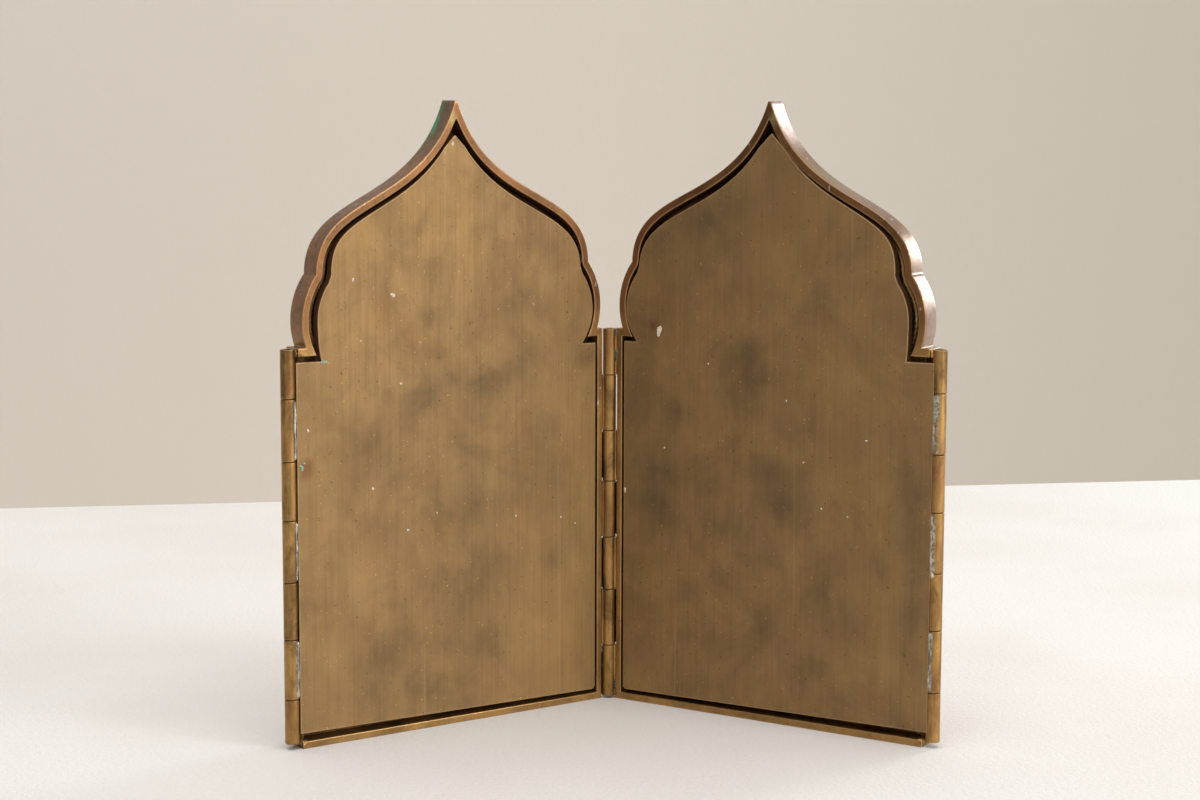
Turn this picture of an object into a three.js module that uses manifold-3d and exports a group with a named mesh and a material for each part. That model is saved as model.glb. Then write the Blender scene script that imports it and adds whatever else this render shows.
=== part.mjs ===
import * as THREE from 'three';
import { mergeVertices } from 'three/addons/utils/BufferGeometryUtils.js';
import Module from 'manifold-3d';

// A travelling icon of four hinged brass leaves, in millimetres, with +Z up.
// Two shallow trays share the middle hinge. A plain-backed plate folds into each tray as a door,
// on a second hinge along the tray's outer edge. The icon stands half folded with its doors shut.
//
// A leaf is drawn flat: `along` runs outwards from the tray edge next to the middle hinge,
// `depth` runs backwards from the tray's front plane, and the height is Z.

const wasm = await Module();
wasm.setup();

// How the icon stands: each tray turns towards the viewer by this angle, in degrees
const leafTurn = 33.85;

// Tray outline, seen from the front
const trayWidth = 99;
const shoulderHeight = 109.6;
const apexHeight = 175;
const innerLedge = 0.7;
const outerLedge = 1.3;
const lobeRadius = 20.7;
const cuspHeight = 129;
const cuspInset = 4.3;
const tipHalfWidth = 0.4;

// A lobe's arc is followed under its widest point by at most this share of its radius,
// and the line drops straight from there
const lobeTuck = 0.75;

// The ogee from cusp to tip leaves the cusp straight up and meets the tip on a lean
const ogeeFootReach = 22.8;
const ogeeTipSpread = 10.2;
const ogeeTipReach = 29.8;

// Tray section
const trayDepth = 7.5;
const floorThickness = 2.2;
const archWall = 2.1;
const sideWall = 1.7;
const bottomWall = 2;
const shoulderWall = 2.3;
const openingTipHalfWidth = 0.2;

// Door plate, which lies in the tray with its face flush with the rim
const doorThickness = 2.6;
const doorSetBack = 0.05;
const doorSeatGap = 0.4;
const doorArchGap = 1.6;
const doorSideGap = 0.7;
const doorShoulderGap = 1.5;
const doorBottomGap = 2.3;
const doorTipHalfWidth = 0.9;
const doorCornerRadius = 1.2;

// The plates were cut a little out of true: the free side hangs lower, by degrees
const doorSag = 0.7;
const doorArchShift = 1;

// Raised borders on the floor of the trays and on the inside of the doors
const floorRelief = 0.8;
const doorRelief = 0.7;
const borderMargin = 2.4;
const borderWidth = 1.6;
const fieldGap = 2.2;
const fieldHeadGap = 3.1;
const fieldBand = 1.1;
const doorBorderGap = 0.5;
const crossSpan = 22;
const crossArm = 4.4;
const crossHeight = 133;

// Outer hinges, one down the free edge of each tray
const outerBarrelRadius = 2.05;
const outerPinRadius = 0.8;
const outerBarrelBottom = 1.5;
const outerStandOff = 2.15;
const trayFootDepth = 6.8;
const doorFootFront = 0.7;

// Middle hinge between the two trays
const middleBarrelRadius = 1.7;
const middlePinRadius = 0.65;
const middleBarrelBottom = 0.5;
const middleStandOff = 2.44;
const middleFootDepth = 2.6;

// The fronts of the trays stay this far from the middle hinge's axis, so that they meet when shut
const foldGap = 0.1;

// Fits
const pinClearance = 0.12;
const knuckleGap = 0.3;
const solderGap = 0.1;
const barrelTopDrop = 0.15;

// Knuckle lengths from the top down, as cut by hand; they share out the height of the barrel
const middleCuts = [13.5, 16.2, 14.8, 16.5, 15.6, 16.6, 15.4];
const leftCuts = [13.4, 17, 16, 16.9, 15.8, 16.6, 12.4];
const rightCuts = [11.8, 16.6, 15.8, 16.7, 15.8, 17.3, 13.9];

// Smoothness of round stretches
const lobeSteps = 9;
const ogeeSteps = 22;
const cornerSteps = 4;
const roundSides = 20;

// How far a cut runs past the surface that it cuts, and how far added work is rooted in its ground
const overcut = 1;
const root = 0.5;

// What follows from the sizes above
const archCentre = (trayWidth + innerLedge - outerLedge) / 2;
const lobeHalfWidth = (trayWidth - innerLedge - outerLedge) / 2;
const outerAxisAlong = trayWidth + outerStandOff;
const outerAxisDepth = outerBarrelRadius;
const doorEdgeAlong = outerAxisAlong - outerBarrelRadius - solderGap;
const doorSeatDepth = doorSetBack + doorThickness + doorSeatGap;
const pocketDepth = trayDepth - floorThickness;
const middleTop = shoulderHeight - barrelTopDrop;

const finishes = {
  tray: { color: 0x9a7448, roughness: 0.42, metalness: 0.9 },
  door: { color: 0xa58655, roughness: 0.5, metalness: 0.9 },
  knuckle: { color: 0xab8853, roughness: 0.38, metalness: 0.9 },
  pin: { color: 0x7d7468, roughness: 0.5, metalness: 0.85 },
};

// Solids

function solidOf(geometry) {
  const bare = geometry.clone();
  bare.deleteAttribute('normal');
  bare.deleteAttribute('uv');
  const merged = mergeVertices(bare, 1e-5);
  return new wasm.Manifold(new wasm.Mesh({
    numProp: 3,
    vertProperties: new Float32Array(merged.attributes.position.array),
    triVerts: new Uint32Array(merged.index.array),
  }));
}

function geometryOf(solid) {
  const mesh = solid.getMesh();
  const geometry = new THREE.BufferGeometry();
  geometry.setAttribute('position', new THREE.BufferAttribute(new Float32Array(mesh.vertProperties), 3));
  geometry.setIndex(new THREE.BufferAttribute(new Uint32Array(mesh.triVerts), 1));
  geometry.computeVertexNormals();
  return geometry;
}

// A plate of the given outline, standing upright, from one depth to another
function plate(outline, side, fromDepth, toDepth) {
  const shape = new THREE.Shape(outline.map(([along, height]) => (
    new THREE.Vector2(side * (along + middleStandOff), height)
  )));
  const geometry = new THREE.ExtrudeGeometry(shape, { depth: toDepth - fromDepth, bevelEnabled: false });
  geometry.translate(0, 0, -(toDepth + foldGap));
  geometry.rotateX(Math.PI / 2);
  return solidOf(geometry);
}

function band(outer, inner, side, fromDepth, toDepth) {
  const hole = plate(inner, side, fromDepth - overcut, toDepth + overcut);
  return plate(outer, side, fromDepth, toDepth).subtract(hole);
}

// A round bar along Z around an axis given as along and depth
function roundBar(along, depth, radius, side, bottom, top) {
  const geometry = new THREE.CylinderGeometry(radius, radius, top - bottom, roundSides);
  geometry.rotateX(Math.PI / 2);
  geometry.translate(side * (along + middleStandOff), depth + foldGap, (top + bottom) / 2);
  return solidOf(geometry);
}

function block(alongFrom, alongTo, depthFrom, depthTo, side, bottom, top) {
  const geometry = new THREE.BoxGeometry(alongTo - alongFrom, depthTo - depthFrom, top - bottom);
  geometry.translate(
    side * ((alongFrom + alongTo) / 2 + middleStandOff),
    (depthFrom + depthTo) / 2 + foldGap,
    (top + bottom) / 2,
  );
  return solidOf(geometry);
}

// Outlines

// The right half of the arch, from its base to its tip, moved inwards by `inset`.
// A round lobe rises to the cusp, and an ogee goes on from the cusp to the tip.
function archHalf(inset, baseHeight, tipHalf) {
  const lobeX = lobeHalfWidth - lobeRadius;
  const cuspX = lobeHalfWidth - cuspInset;
  const lobeZ = cuspHeight - Math.sqrt(lobeRadius ** 2 - (cuspX - lobeX) ** 2);
  const radius = lobeRadius - inset;
  const startAngle = -Math.asin(Math.min((lobeZ - baseHeight) / radius, lobeTuck));
  const endAngle = Math.asin((cuspHeight - lobeZ) / lobeRadius);
  const points = [[lobeX + radius * Math.cos(startAngle), baseHeight]];
  for (let step = 0; step <= lobeSteps; step += 1) {
    const angle = startAngle + (endAngle - startAngle) * step / lobeSteps;
    const height = lobeZ + radius * Math.sin(angle);
    if (height > baseHeight) {
      points.push([lobeX + radius * Math.cos(angle), height]);
    }
  }
  const ogee = new THREE.CubicBezierCurve(
    new THREE.Vector2(cuspX, cuspHeight),
    new THREE.Vector2(cuspX - tipHalfWidth, cuspHeight + ogeeFootReach),
    new THREE.Vector2(ogeeTipSpread, apexHeight - ogeeTipReach),
    new THREE.Vector2(tipHalfWidth, apexHeight),
  );
  for (let step = 0; step <= ogeeSteps; step += 1) {
    const point = ogee.getPoint(step / ogeeSteps);
    const heading = ogee.getTangent(step / ogeeSteps);
    const next = [point.x - inset * heading.y, point.y + inset * heading.x];
    const last = points[points.length - 1];
    if (next[0] < tipHalf) {
      const share = (last[0] - tipHalf) / (last[0] - next[0]);
      points.push([tipHalf, last[1] + share * (next[1] - last[1])]);
      break;
    }
    points.push(next);
  }
  return points;
}

// A whole leaf outline, anticlockwise from its lower corner next to the middle hinge
function leafOutline({ inner, outer, bottom, shoulder, arch, centre, tip }) {
  const half = archHalf(arch, shoulder, tip);
  const right = half.map(([x, z]) => [centre + x, z]);
  const left = half.map(([x, z]) => [centre - x, z]).reverse();
  return [[inner, bottom], [outer, bottom], [outer, shoulder], ...right, ...left, [inner, shoulder]];
}

// The opening inside a tray's rim, or a line that runs `margin` inside it
function openingOutline(margin) {
  return leafOutline({
    inner: sideWall + margin,
    outer: trayWidth - sideWall - margin,
    bottom: bottomWall + margin,
    shoulder: shoulderHeight - shoulderWall - margin,
    arch: archWall + margin,
    centre: archCentre,
    tip: openingTipHalfWidth,
  });
}

// A door's points hang lower the further they are from its hinge
function sagged(points) {
  const slope = Math.tan(THREE.MathUtils.degToRad(doorSag));
  return points.map(([along, height]) => [along, height - slope * (doorEdgeAlong - along)]);
}

function doorOutline(margin, hingeMargin) {
  const inner = sideWall + doorSideGap + margin;
  const bottom = bottomWall + doorBottomGap + margin;
  const points = leafOutline({
    inner,
    outer: doorEdgeAlong - hingeMargin,
    bottom,
    shoulder: shoulderHeight - shoulderWall - doorShoulderGap - margin,
    arch: archWall + doorArchGap + margin,
    centre: archCentre - doorArchShift,
    tip: doorTipHalfWidth,
  });
  const corner = [];
  for (let step = 0; step <= cornerSteps; step += 1) {
    const angle = Math.PI * (1 + step / cornerSteps / 2);
    corner.push([
      inner + doorCornerRadius * (1 + Math.cos(angle)),
      bottom + doorCornerRadius * (1 + Math.sin(angle)),
    ]);
  }
  return sagged([...corner, ...points.slice(1)]);
}

function rectangle(inner, outer, bottom, top) {
  return [[inner, bottom], [outer, bottom], [outer, top], [inner, top]];
}

// Raised work: a border along the outline, four framed fields, and a cross in the arch.
// `bend` moves the points where the leaf they lie on is out of true.
function raisedWork(side, border, fields, fromDepth, toDepth, bend) {
  let work = band(border(borderMargin), border(borderMargin + borderWidth), side, fromDepth, toDepth);
  const middleX = (fields.inner + fields.outer) / 2;
  const middleZ = (fields.bottom + fields.top) / 2;
  const columns = [[fields.inner, middleX - fieldGap / 2], [middleX + fieldGap / 2, fields.outer]];
  const rows = [[fields.bottom, middleZ - fieldGap / 2], [middleZ + fieldGap / 2, fields.top]];
  for (const [inner, outer] of columns) {
    for (const [bottom, top] of rows) {
      const edge = bend(rectangle(inner, outer, bottom, top));
      const hole = bend(rectangle(inner + fieldBand, outer - fieldBand, bottom + fieldBand, top - fieldBand));
      work = work.add(band(edge, hole, side, fromDepth, toDepth));
    }
  }
  const upright = bend(rectangle(
    middleX - crossArm / 2,
    middleX + crossArm / 2,
    crossHeight - crossSpan / 2,
    crossHeight + crossSpan / 2,
  ));
  const bar = bend(rectangle(
    middleX - crossSpan / 2,
    middleX + crossSpan / 2,
    crossHeight - crossArm / 2,
    crossHeight + crossArm / 2,
  ));
  return work
    .add(plate(upright, side, fromDepth, toDepth))
    .add(plate(bar, side, fromDepth, toDepth));
}

const unbent = (points) => points;

// The fields stand inside the border, one field gap away from it
function fieldBox(outline) {
  const inset = borderMargin + borderWidth + fieldGap;
  return {
    inner: outline.inner + inset,
    outer: outline.outer - inset,
    bottom: outline.bottom + inset,
    top: outline.top - fieldHeadGap,
  };
}

// Pieces

// A tray: one casting with a floor and a rim. Its rim is cut down along the outer hinge,
// where the door's edge passes over it.
function makeTray(side) {
  const body = plate(leafOutline({
    inner: 0,
    outer: trayWidth,
    bottom: 0,
    shoulder: shoulderHeight,
    arch: 0,
    centre: archCentre,
    tip: tipHalfWidth,
  }), side, 0, trayDepth);
  const pocket = plate(openingOutline(0), side, -overcut, pocketDepth);
  const doorSeat = block(
    trayWidth - sideWall - overcut,
    trayWidth + overcut,
    -overcut,
    doorSeatDepth,
    side,
    bottomWall,
    shoulderHeight - shoulderWall,
  );
  const fields = fieldBox({
    inner: sideWall,
    outer: trayWidth - sideWall,
    bottom: bottomWall,
    top: shoulderHeight - shoulderWall,
  });
  const work = raisedWork(side, openingOutline, fields, pocketDepth - floorRelief, pocketDepth + root, unbent);
  return body.subtract(pocket).subtract(doorSeat).add(work);
}

// A door: a plate with a plain outer face, and raised work on the face that shows when it opens
function makeDoor(side) {
  const back = doorSetBack + doorThickness;
  const hingeMargin = doorEdgeAlong - (trayWidth - sideWall) + doorBorderGap;
  const body = plate(doorOutline(0, 0), side, doorSetBack, back);
  const border = (margin) => doorOutline(margin, hingeMargin + margin);
  const fields = fieldBox({
    inner: sideWall + doorSideGap,
    outer: doorEdgeAlong - hingeMargin,
    bottom: bottomWall + doorBottomGap,
    top: shoulderHeight - shoulderWall - doorShoulderGap,
  });
  return body.add(raisedWork(side, border, fields, back - root, back + doorRelief, sagged));
}

// A knuckle: a bored tube with a foot that is soldered to its leaf
function makeKnuckle({ along, depth, radius, pinRadius, foot, side, bottom, top }) {
  const tube = roundBar(along, depth, radius, side, bottom, top);
  const bore = roundBar(along, depth, pinRadius + pinClearance, side, bottom - overcut, top + overcut);
  const web = block(foot.alongFrom, foot.alongTo, foot.depthFrom, foot.depthTo, side, bottom, top);
  return tube.add(web).subtract(bore);
}

// Where each knuckle of a barrel starts and ends, from the top down
function knuckleSpans(cuts, bottom, top) {
  const total = cuts.reduce((sum, cut) => sum + cut, 0);
  const spans = [];
  let height = top;
  for (const cut of cuts) {
    const lower = height - (top - bottom) * cut / total;
    spans.push({ top: height - knuckleGap / 2, bottom: lower + knuckleGap / 2 });
    height = lower;
  }
  return spans;
}

// Assembly

const icon = new THREE.Group();
const leaves = { left: new THREE.Group(), right: new THREE.Group() };
const sides = { left: -1, right: 1 };

function place(name, parent, solid, finish) {
  const mesh = new THREE.Mesh(geometryOf(solid), new THREE.MeshStandardMaterial(finishes[finish]));
  mesh.name = name;
  parent.add(mesh);
}

for (const [name, side] of Object.entries(sides)) {
  const leaf = leaves[name];
  leaf.rotation.z = -side * THREE.MathUtils.degToRad(leafTurn);
  icon.add(leaf);
  place(`${name}_tray`, leaf, makeTray(side), 'tray');
  place(`${name}_door`, leaf, makeDoor(side), 'door');

  // The outer hinge: the tray owns the odd knuckles, the door the even ones
  const outer = {
    along: outerAxisAlong,
    depth: outerAxisDepth,
    radius: outerBarrelRadius,
    pinRadius: outerPinRadius,
    side,
  };
  const trayFoot = {
    alongFrom: trayWidth + solderGap,
    alongTo: outerAxisAlong - outerBarrelRadius / 2,
    depthFrom: doorSeatDepth,
    depthTo: trayFootDepth,
  };
  const doorFoot = {
    alongFrom: doorEdgeAlong + solderGap,
    alongTo: outerAxisAlong - outerBarrelRadius / 2,
    depthFrom: doorFootFront,
    depthTo: doorSetBack + doorThickness,
  };
  const cuts = name === 'left' ? leftCuts : rightCuts;
  knuckleSpans(cuts, outerBarrelBottom, middleTop).forEach((span, index) => {
    const owner = index % 2 ? 'door' : 'tray';
    const foot = index % 2 ? doorFoot : trayFoot;
    place(`${name}_${owner}_knuckle_${index + 1}`, leaf, makeKnuckle({ ...outer, foot, ...span }), 'knuckle');
  });
  const pin = roundBar(
    outerAxisAlong,
    outerAxisDepth,
    outerPinRadius,
    side,
    outerBarrelBottom + knuckleGap,
    middleTop - knuckleGap,
  );
  place(`${name}_hinge_pin`, leaf, pin, 'pin');
}

// The middle hinge: the right tray owns the odd knuckles, the left tray the even ones
const middleFoot = {
  alongFrom: -middleStandOff + middleBarrelRadius / 2,
  alongTo: -solderGap,
  depthFrom: foldGap,
  depthTo: middleFootDepth,
};
knuckleSpans(middleCuts, middleBarrelBottom, middleTop).forEach((span, index) => {
  const owner = index % 2 ? 'left' : 'right';
  const knuckle = makeKnuckle({
    along: -middleStandOff,
    depth: -foldGap,
    radius: middleBarrelRadius,
    pinRadius: middlePinRadius,
    foot: middleFoot,
    side: sides[owner],
    ...span,
  });
  place(`middle_knuckle_${index + 1}`, leaves[owner], knuckle, 'knuckle');
});
const middlePin = roundBar(
  -middleStandOff,
  -foldGap,
  middlePinRadius,
  1,
  middleBarrelBottom + knuckleGap,
  middleTop - knuckleGap,
);
place('middle_hinge_pin', leaves.left, middlePin, 'pin');

// The origin is on the ground, under the middle of the icon's footprint
const extent = new THREE.Box3().setFromObject(icon, true);
icon.position.set(0, -(extent.min.y + extent.max.y) / 2, -extent.min.z);

export default icon;
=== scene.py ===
from math import atan2, cos, pi, radians, sin, tan

import bpy
import numpy as np
from mathutils import Matrix, Vector


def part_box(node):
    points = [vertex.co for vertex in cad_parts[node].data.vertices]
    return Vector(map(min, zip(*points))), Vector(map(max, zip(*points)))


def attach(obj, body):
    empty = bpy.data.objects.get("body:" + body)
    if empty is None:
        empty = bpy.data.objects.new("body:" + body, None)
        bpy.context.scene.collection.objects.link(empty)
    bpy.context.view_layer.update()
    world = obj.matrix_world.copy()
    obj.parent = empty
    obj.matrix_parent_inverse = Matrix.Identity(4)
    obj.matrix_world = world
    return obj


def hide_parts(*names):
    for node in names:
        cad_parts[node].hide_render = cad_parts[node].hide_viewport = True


# A folding travel icon of four hinged brass leaves, standing half folded with its doors shut.
# Lengths are in millimetres until a mesh is made. A leaf is drawn flat: `along` runs outwards from
# the tray's edge by the middle hinge, `depth` backwards from the tray's front, and height upwards.
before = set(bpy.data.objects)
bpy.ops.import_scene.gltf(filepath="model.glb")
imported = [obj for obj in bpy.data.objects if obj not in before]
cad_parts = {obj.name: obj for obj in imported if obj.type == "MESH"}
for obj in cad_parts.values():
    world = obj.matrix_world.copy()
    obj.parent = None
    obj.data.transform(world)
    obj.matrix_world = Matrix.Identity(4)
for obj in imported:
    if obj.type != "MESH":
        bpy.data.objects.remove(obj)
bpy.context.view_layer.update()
scene = bpy.context.scene


# Trays
#
# Each tray is one brass casting: a flat floor with an ogee-topped rim filed smooth by hand.
# The rim is cut down along the outer hinge, where the edge of the door passes over it.

MM = 0.001
LEFT, RIGHT = -1, 1
SIDE_NAMES = {LEFT: "left", RIGHT: "right"}

TRAY_WIDTH = 99.0
TRAY_DEPTH = 7.5
POCKET_DEPTH = 5.3
SHOULDER_HEIGHT = 109.6
APEX_HEIGHT = 175.0
ARCH_CENTRE = 49.2
LOBE_HALF_WIDTH = 48.5
LOBE_RADIUS = 20.7
CUSP_HEIGHT = 129.0
CUSP_INSET = 4.3
TIP_HALF_WIDTH = 0.4
OGEE_FOOT_REACH = 22.8
OGEE_TIP_SPREAD = 10.2
OGEE_TIP_REACH = 29.8
ARCH_WALL, SIDE_WALL, BOTTOM_WALL, SHOULDER_WALL = 2.1, 1.7, 2.0, 2.3
SEAT_DEPTH = 3.05
MIDDLE_STAND_OFF = 2.44
OUTER_STAND_OFF = 2.15
FOLD_GAP = 0.1
OUTER_RADIUS = 2.05

# A plate's ogee swells above the first of these heights, and has a blunter point above the last
SWELL_FROM, SWELL_RISE, BLUNT_FROM = 131, 18, 157
LOBE_FOOT_LIMIT = 0.75

# Counts of columns across a leaf, and of rows up its side, lobe, ogee, ledge and corners
COLUMNS = 56
SIDE_ROWS, LOBE_ROWS, OGEE_ROWS, LEDGE_ROWS = 40, 34, 42, 5
CORNER_STEPS = 4
TRIAL_STEPS = 4000

# Even rows fill the side between two heights, and two close rows end the cut-down stretch of the rim
LOWEST_ROW, HIGHEST_ROW, LEAST_ROW_GAP = 6, 103, 0.004
SEAT_STEP = 0.02
ROW_SPREAD, EDGE_SHARE = 14, 0.12


def pin_axis(node):
    """The middle of a hinge pin seen from above, in millimetres."""
    low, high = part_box(node)
    return np.array([(low.x + high.x) / 2, (low.y + high.y) / 2]) / MM


MIDDLE_AXIS = pin_axis("middle_hinge_pin")


def leaf_turn(side):
    """The angle by which a leaf is turned about the middle pin, from where its outer pin stands."""
    reach = pin_axis(SIDE_NAMES[side] + "_hinge_pin") - MIDDLE_AXIS
    flat = (side * (TRAY_WIDTH + OUTER_STAND_OFF + MIDDLE_STAND_OFF), OUTER_RADIUS + FOLD_GAP)
    return atan2(reach[1], reach[0]) - atan2(flat[1], flat[0])


TURNS = {side: leaf_turn(side) for side in (LEFT, RIGHT)}


def on_leaf(side, along, depth, height):
    """Points of a leaf drawn flat as they stand in the part: (n, 3) in metres."""
    x = side * (np.asarray(along, float) + MIDDLE_STAND_OFF)
    y = np.asarray(depth, float) + FOLD_GAP
    x, y, z = np.broadcast_arrays(x, y, np.asarray(height, float))
    c, s = cos(TURNS[side]), sin(TURNS[side])
    return np.stack([x * c - y * s + MIDDLE_AXIS[0], x * s + y * c + MIDDLE_AXIS[1], z], -1) * MM


def ripple(a, b, seed, reach, count=7):
    """Smooth unevenness between about -1 and 1: sines of wavelength `reach` and up, in chance directions."""
    chance = np.random.default_rng(seed)
    total = np.zeros(np.broadcast(a, b).shape)
    for _ in range(count):
        heading = chance.uniform(0, 2 * pi)
        pace = 2 * pi / (reach * chance.uniform(1, 2.6))
        total = total + np.sin((np.cos(heading) * a + np.sin(heading) * b) * pace + chance.uniform(0, 2 * pi))
    return total / count ** 0.5 / 1.4


def smooth(share):
    """A soft step from 0 to 1."""
    share = np.clip(share, 0, 1)
    return share * share * (3 - 2 * share)


def arch_half(inset, base, tip, lobe_steps, ogee_steps, head=None):
    """Right half of the arch moved inwards by `inset`: a lobe's arc, then a cubic ogee up to the tip.

    `head`, where given, is the height of a blunter point and how much the ogee swells below it.
    """
    lobe_x = LOBE_HALF_WIDTH - LOBE_RADIUS
    cusp_x = LOBE_HALF_WIDTH - CUSP_INSET
    lobe_z = CUSP_HEIGHT - (LOBE_RADIUS ** 2 - (cusp_x - lobe_x) ** 2) ** 0.5
    radius = LOBE_RADIUS - inset
    start = -np.arcsin(min((lobe_z - base) / radius, LOBE_FOOT_LIMIT))
    end = np.arcsin((CUSP_HEIGHT - lobe_z) / LOBE_RADIUS)
    angle = np.linspace(start, end, lobe_steps)
    lobe = np.stack([lobe_x + radius * np.cos(angle), lobe_z + radius * np.sin(angle)], -1)
    lobe[0, 1] = base
    corners = np.array([
        [cusp_x, CUSP_HEIGHT],
        [cusp_x - TIP_HALF_WIDTH, CUSP_HEIGHT + OGEE_FOOT_REACH],
        [OGEE_TIP_SPREAD, APEX_HEIGHT - OGEE_TIP_REACH],
        [TIP_HALF_WIDTH, APEX_HEIGHT],
    ])

    def ogee(t):
        t = t[:, None]
        point = ((1 - t) ** 3 * corners[0] + 3 * (1 - t) ** 2 * t * corners[1]
                 + 3 * (1 - t) * t ** 2 * corners[2] + t ** 3 * corners[3])
        run = ((1 - t) ** 2 * (corners[1] - corners[0]) + 2 * (1 - t) * t * (corners[2] - corners[1])
               + t ** 2 * (corners[3] - corners[2]))
        run /= np.linalg.norm(run, axis=1)[:, None]
        return point + inset * np.stack([-run[:, 1], run[:, 0]], -1)

    rise = ogee(np.linspace(0, 1, TRIAL_STEPS))
    if head:
        point, swell = head
        rise[:, 0] += swell * smooth((rise[:, 1] - SWELL_FROM) / SWELL_RISE)
        blunt = np.minimum(rise[:, 0], point - rise[:, 1] + tip)
        rise[:, 0] = np.where(rise[:, 1] > BLUNT_FROM, blunt, rise[:, 0])
    last = np.argmax(rise[:, 0] <= tip) or len(rise) - 1
    rise = rise[np.linspace(0, last, ogee_steps).round().astype(int)]
    rise[-1, 0] = tip
    return np.concatenate([lobe, rise])


def leaf_rows(inner, outer, bottom, shoulder, arch, centre, tip, corner, sharp=None, finer=1, head=None):
    """Ends of the rows that fill a leaf's outline from its foot to its tip: two arrays (rows, 2).

    Both ends of a row lie at one height. Rows crowd at the corners and lie on one line along the
    ledges beside the arch. `corner` rounds the foot on the inner side and `sharp` the other corners.
    """
    sharp = corner if sharp is None else sharp
    drop = corner * (1 - np.cos(np.linspace(0, pi / 2, CORNER_STEPS + 1)))
    seat_top = SHOULDER_HEIGHT - SHOULDER_WALL
    heights = np.concatenate([[BOTTOM_WALL, BOTTOM_WALL + SEAT_STEP],
                              np.linspace(LOWEST_ROW, HIGHEST_ROW, SIDE_ROWS * finer),
                              [seat_top - SEAT_STEP, seat_top]])
    step = LEAST_ROW_GAP * np.arange(1, len(heights) + 1)
    heights = np.clip(heights, bottom + corner + step, shoulder - corner - step[::-1])
    level = np.concatenate([bottom + drop, heights, shoulder - drop[::-1]])
    half = arch_half(arch, shoulder, tip, LOBE_ROWS * finer, OGEE_ROWS * (finer + 1), head)
    ledge = np.linspace(0, 1, LEDGE_ROWS + 2)[1:-1, None]
    ends = []
    for edge, sign, foot in ((inner, 1, corner), (outer, -1, sharp)):
        nudge = np.zeros(len(level))
        for radius, away in ((foot, level - bottom), (sharp, shoulder - level)):
            nudge += radius - np.sqrt(radius ** 2 - (radius - np.clip(away, 0, radius)) ** 2)
        side = np.stack([edge + sign * nudge, level], -1)
        rise = np.stack([centre - sign * half[:, 0], half[:, 1]], -1)
        ends.append(np.concatenate([side, side[-1] + (rise[0] - side[-1]) * ledge, rise]))
    return ends


def loop_of(ends, columns=COLUMNS):
    """The outline through the ends of the rows, anticlockwise, with that many steps across foot and tip."""
    low, high = ends
    share = np.linspace(0, 1, columns + 1)[1:-1, None]
    return np.concatenate([low[:1], low[0] + (high[0] - low[0]) * share, high,
                           high[-1] + (low[-1] - high[-1]) * share, low[:0:-1]])


def fill_of(ends, first, columns=COLUMNS):
    """The grid inside such an outline.

    Gives the numbers of its points, (rows, columns + 1), where the outline's points are counted from 0
    and the inner ones from `first`, and the inner points. Crowded rows spread out away from their ends.
    """
    low, high = ends
    rows = len(low)
    height = low[:, 1].copy()
    half = rows // 6
    apart = ROW_SPREAD / columns
    for row in range(1, half):
        height[row] = max(height[row], height[row - 1] + apart)
    for row in range(rows - 2, half, -1):
        height[row] = min(height[row], height[row + 1] - apart)
    share = np.linspace(0, 1, columns + 1)[None, 1:-1]
    spread = smooth(np.minimum(share, 1 - share) / EDGE_SHARE)
    inside = np.stack([
        low[1:-1, :1] + (high[1:-1, :1] - low[1:-1, :1]) * share,
        low[1:-1, 1:] * (1 - spread) + height[1:-1, None] * spread,
    ], -1)
    number = np.zeros((rows, columns + 1), int)
    number[0] = np.arange(columns + 1)
    number[:, -1] = columns + np.arange(rows)
    number[-1] = columns + rows - 1 + np.arange(columns, -1, -1)
    around = 2 * (columns + rows - 1)
    number[1:, 0] = around - np.arange(1, rows)
    number[1:-1, 1:-1] = first + np.arange((rows - 2) * (columns - 1)).reshape(rows - 2, columns - 1)
    return number, inside.reshape(-1, 2)


def strip_faces(count, around):
    """Quads between `count` closed lines of `around` points each."""
    line = np.arange(count - 1)[:, None] * around
    step = np.arange(around)[None, :]
    after = (step + 1) % around
    above = line + around
    return np.stack([line + step, line + after, above + after, above + step], -1).reshape(-1, 4)


def fan_faces(line, hub):
    """Quads from a closed line of an even count of point numbers to one hub, two steps of it at a time."""
    start = line[0::2]
    return np.stack([np.full(len(start), hub), start, line[1::2], np.roll(start, -1)], -1)


def capped_faces(count, around):
    """Quads of a run of closed lines, with a fan from each end to a hub that is numbered after them."""
    line = np.arange(around)
    hub = count * around
    return np.concatenate([strip_faces(count, around), fan_faces(line, hub)[:, ::-1],
                           fan_faces(line + hub - around, hub + 1)])


def grid_faces(number):
    """Quads of a grid of point numbers."""
    return np.stack([number[:-1, :-1], number[:-1, 1:], number[1:, 1:], number[1:, :-1]], -1).reshape(-1, 4)


def make_piece(name, points, faces, marks=None):
    """A smooth mesh object of (n, 3) points in metres and (m, 4) quads, turned to face outwards.

    `marks` are numbers for each point, which its material reads by name.
    """
    a, b, c, d = (points[faces[:, k]] for k in range(4))
    volume = np.einsum("ij,ij->i", a, np.cross(b, c)).sum() + np.einsum("ij,ij->i", a, np.cross(c, d)).sum()
    if volume < 0:
        faces = faces[:, ::-1]
    mesh = bpy.data.meshes.new(name)
    mesh.vertices.add(len(points))
    mesh.vertices.foreach_set("co", np.ascontiguousarray(points, np.float32).ravel())
    mesh.loops.add(faces.size)
    mesh.loops.foreach_set("vertex_index", np.ascontiguousarray(faces, np.int32).ravel())
    mesh.polygons.add(len(faces))
    mesh.polygons.foreach_set("loop_start", np.arange(0, faces.size, 4, dtype=np.int32))
    mesh.update(calc_edges=True)
    mesh.shade_smooth()
    for mark, values in (marks or {}).items():
        attribute = mesh.attributes.new(mark, "FLOAT", "POINT")
        attribute.data.foreach_set("value", np.ascontiguousarray(values, np.float32))
    piece = bpy.data.objects.new(name, mesh)
    scene.collection.objects.link(piece)
    return piece


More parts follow.
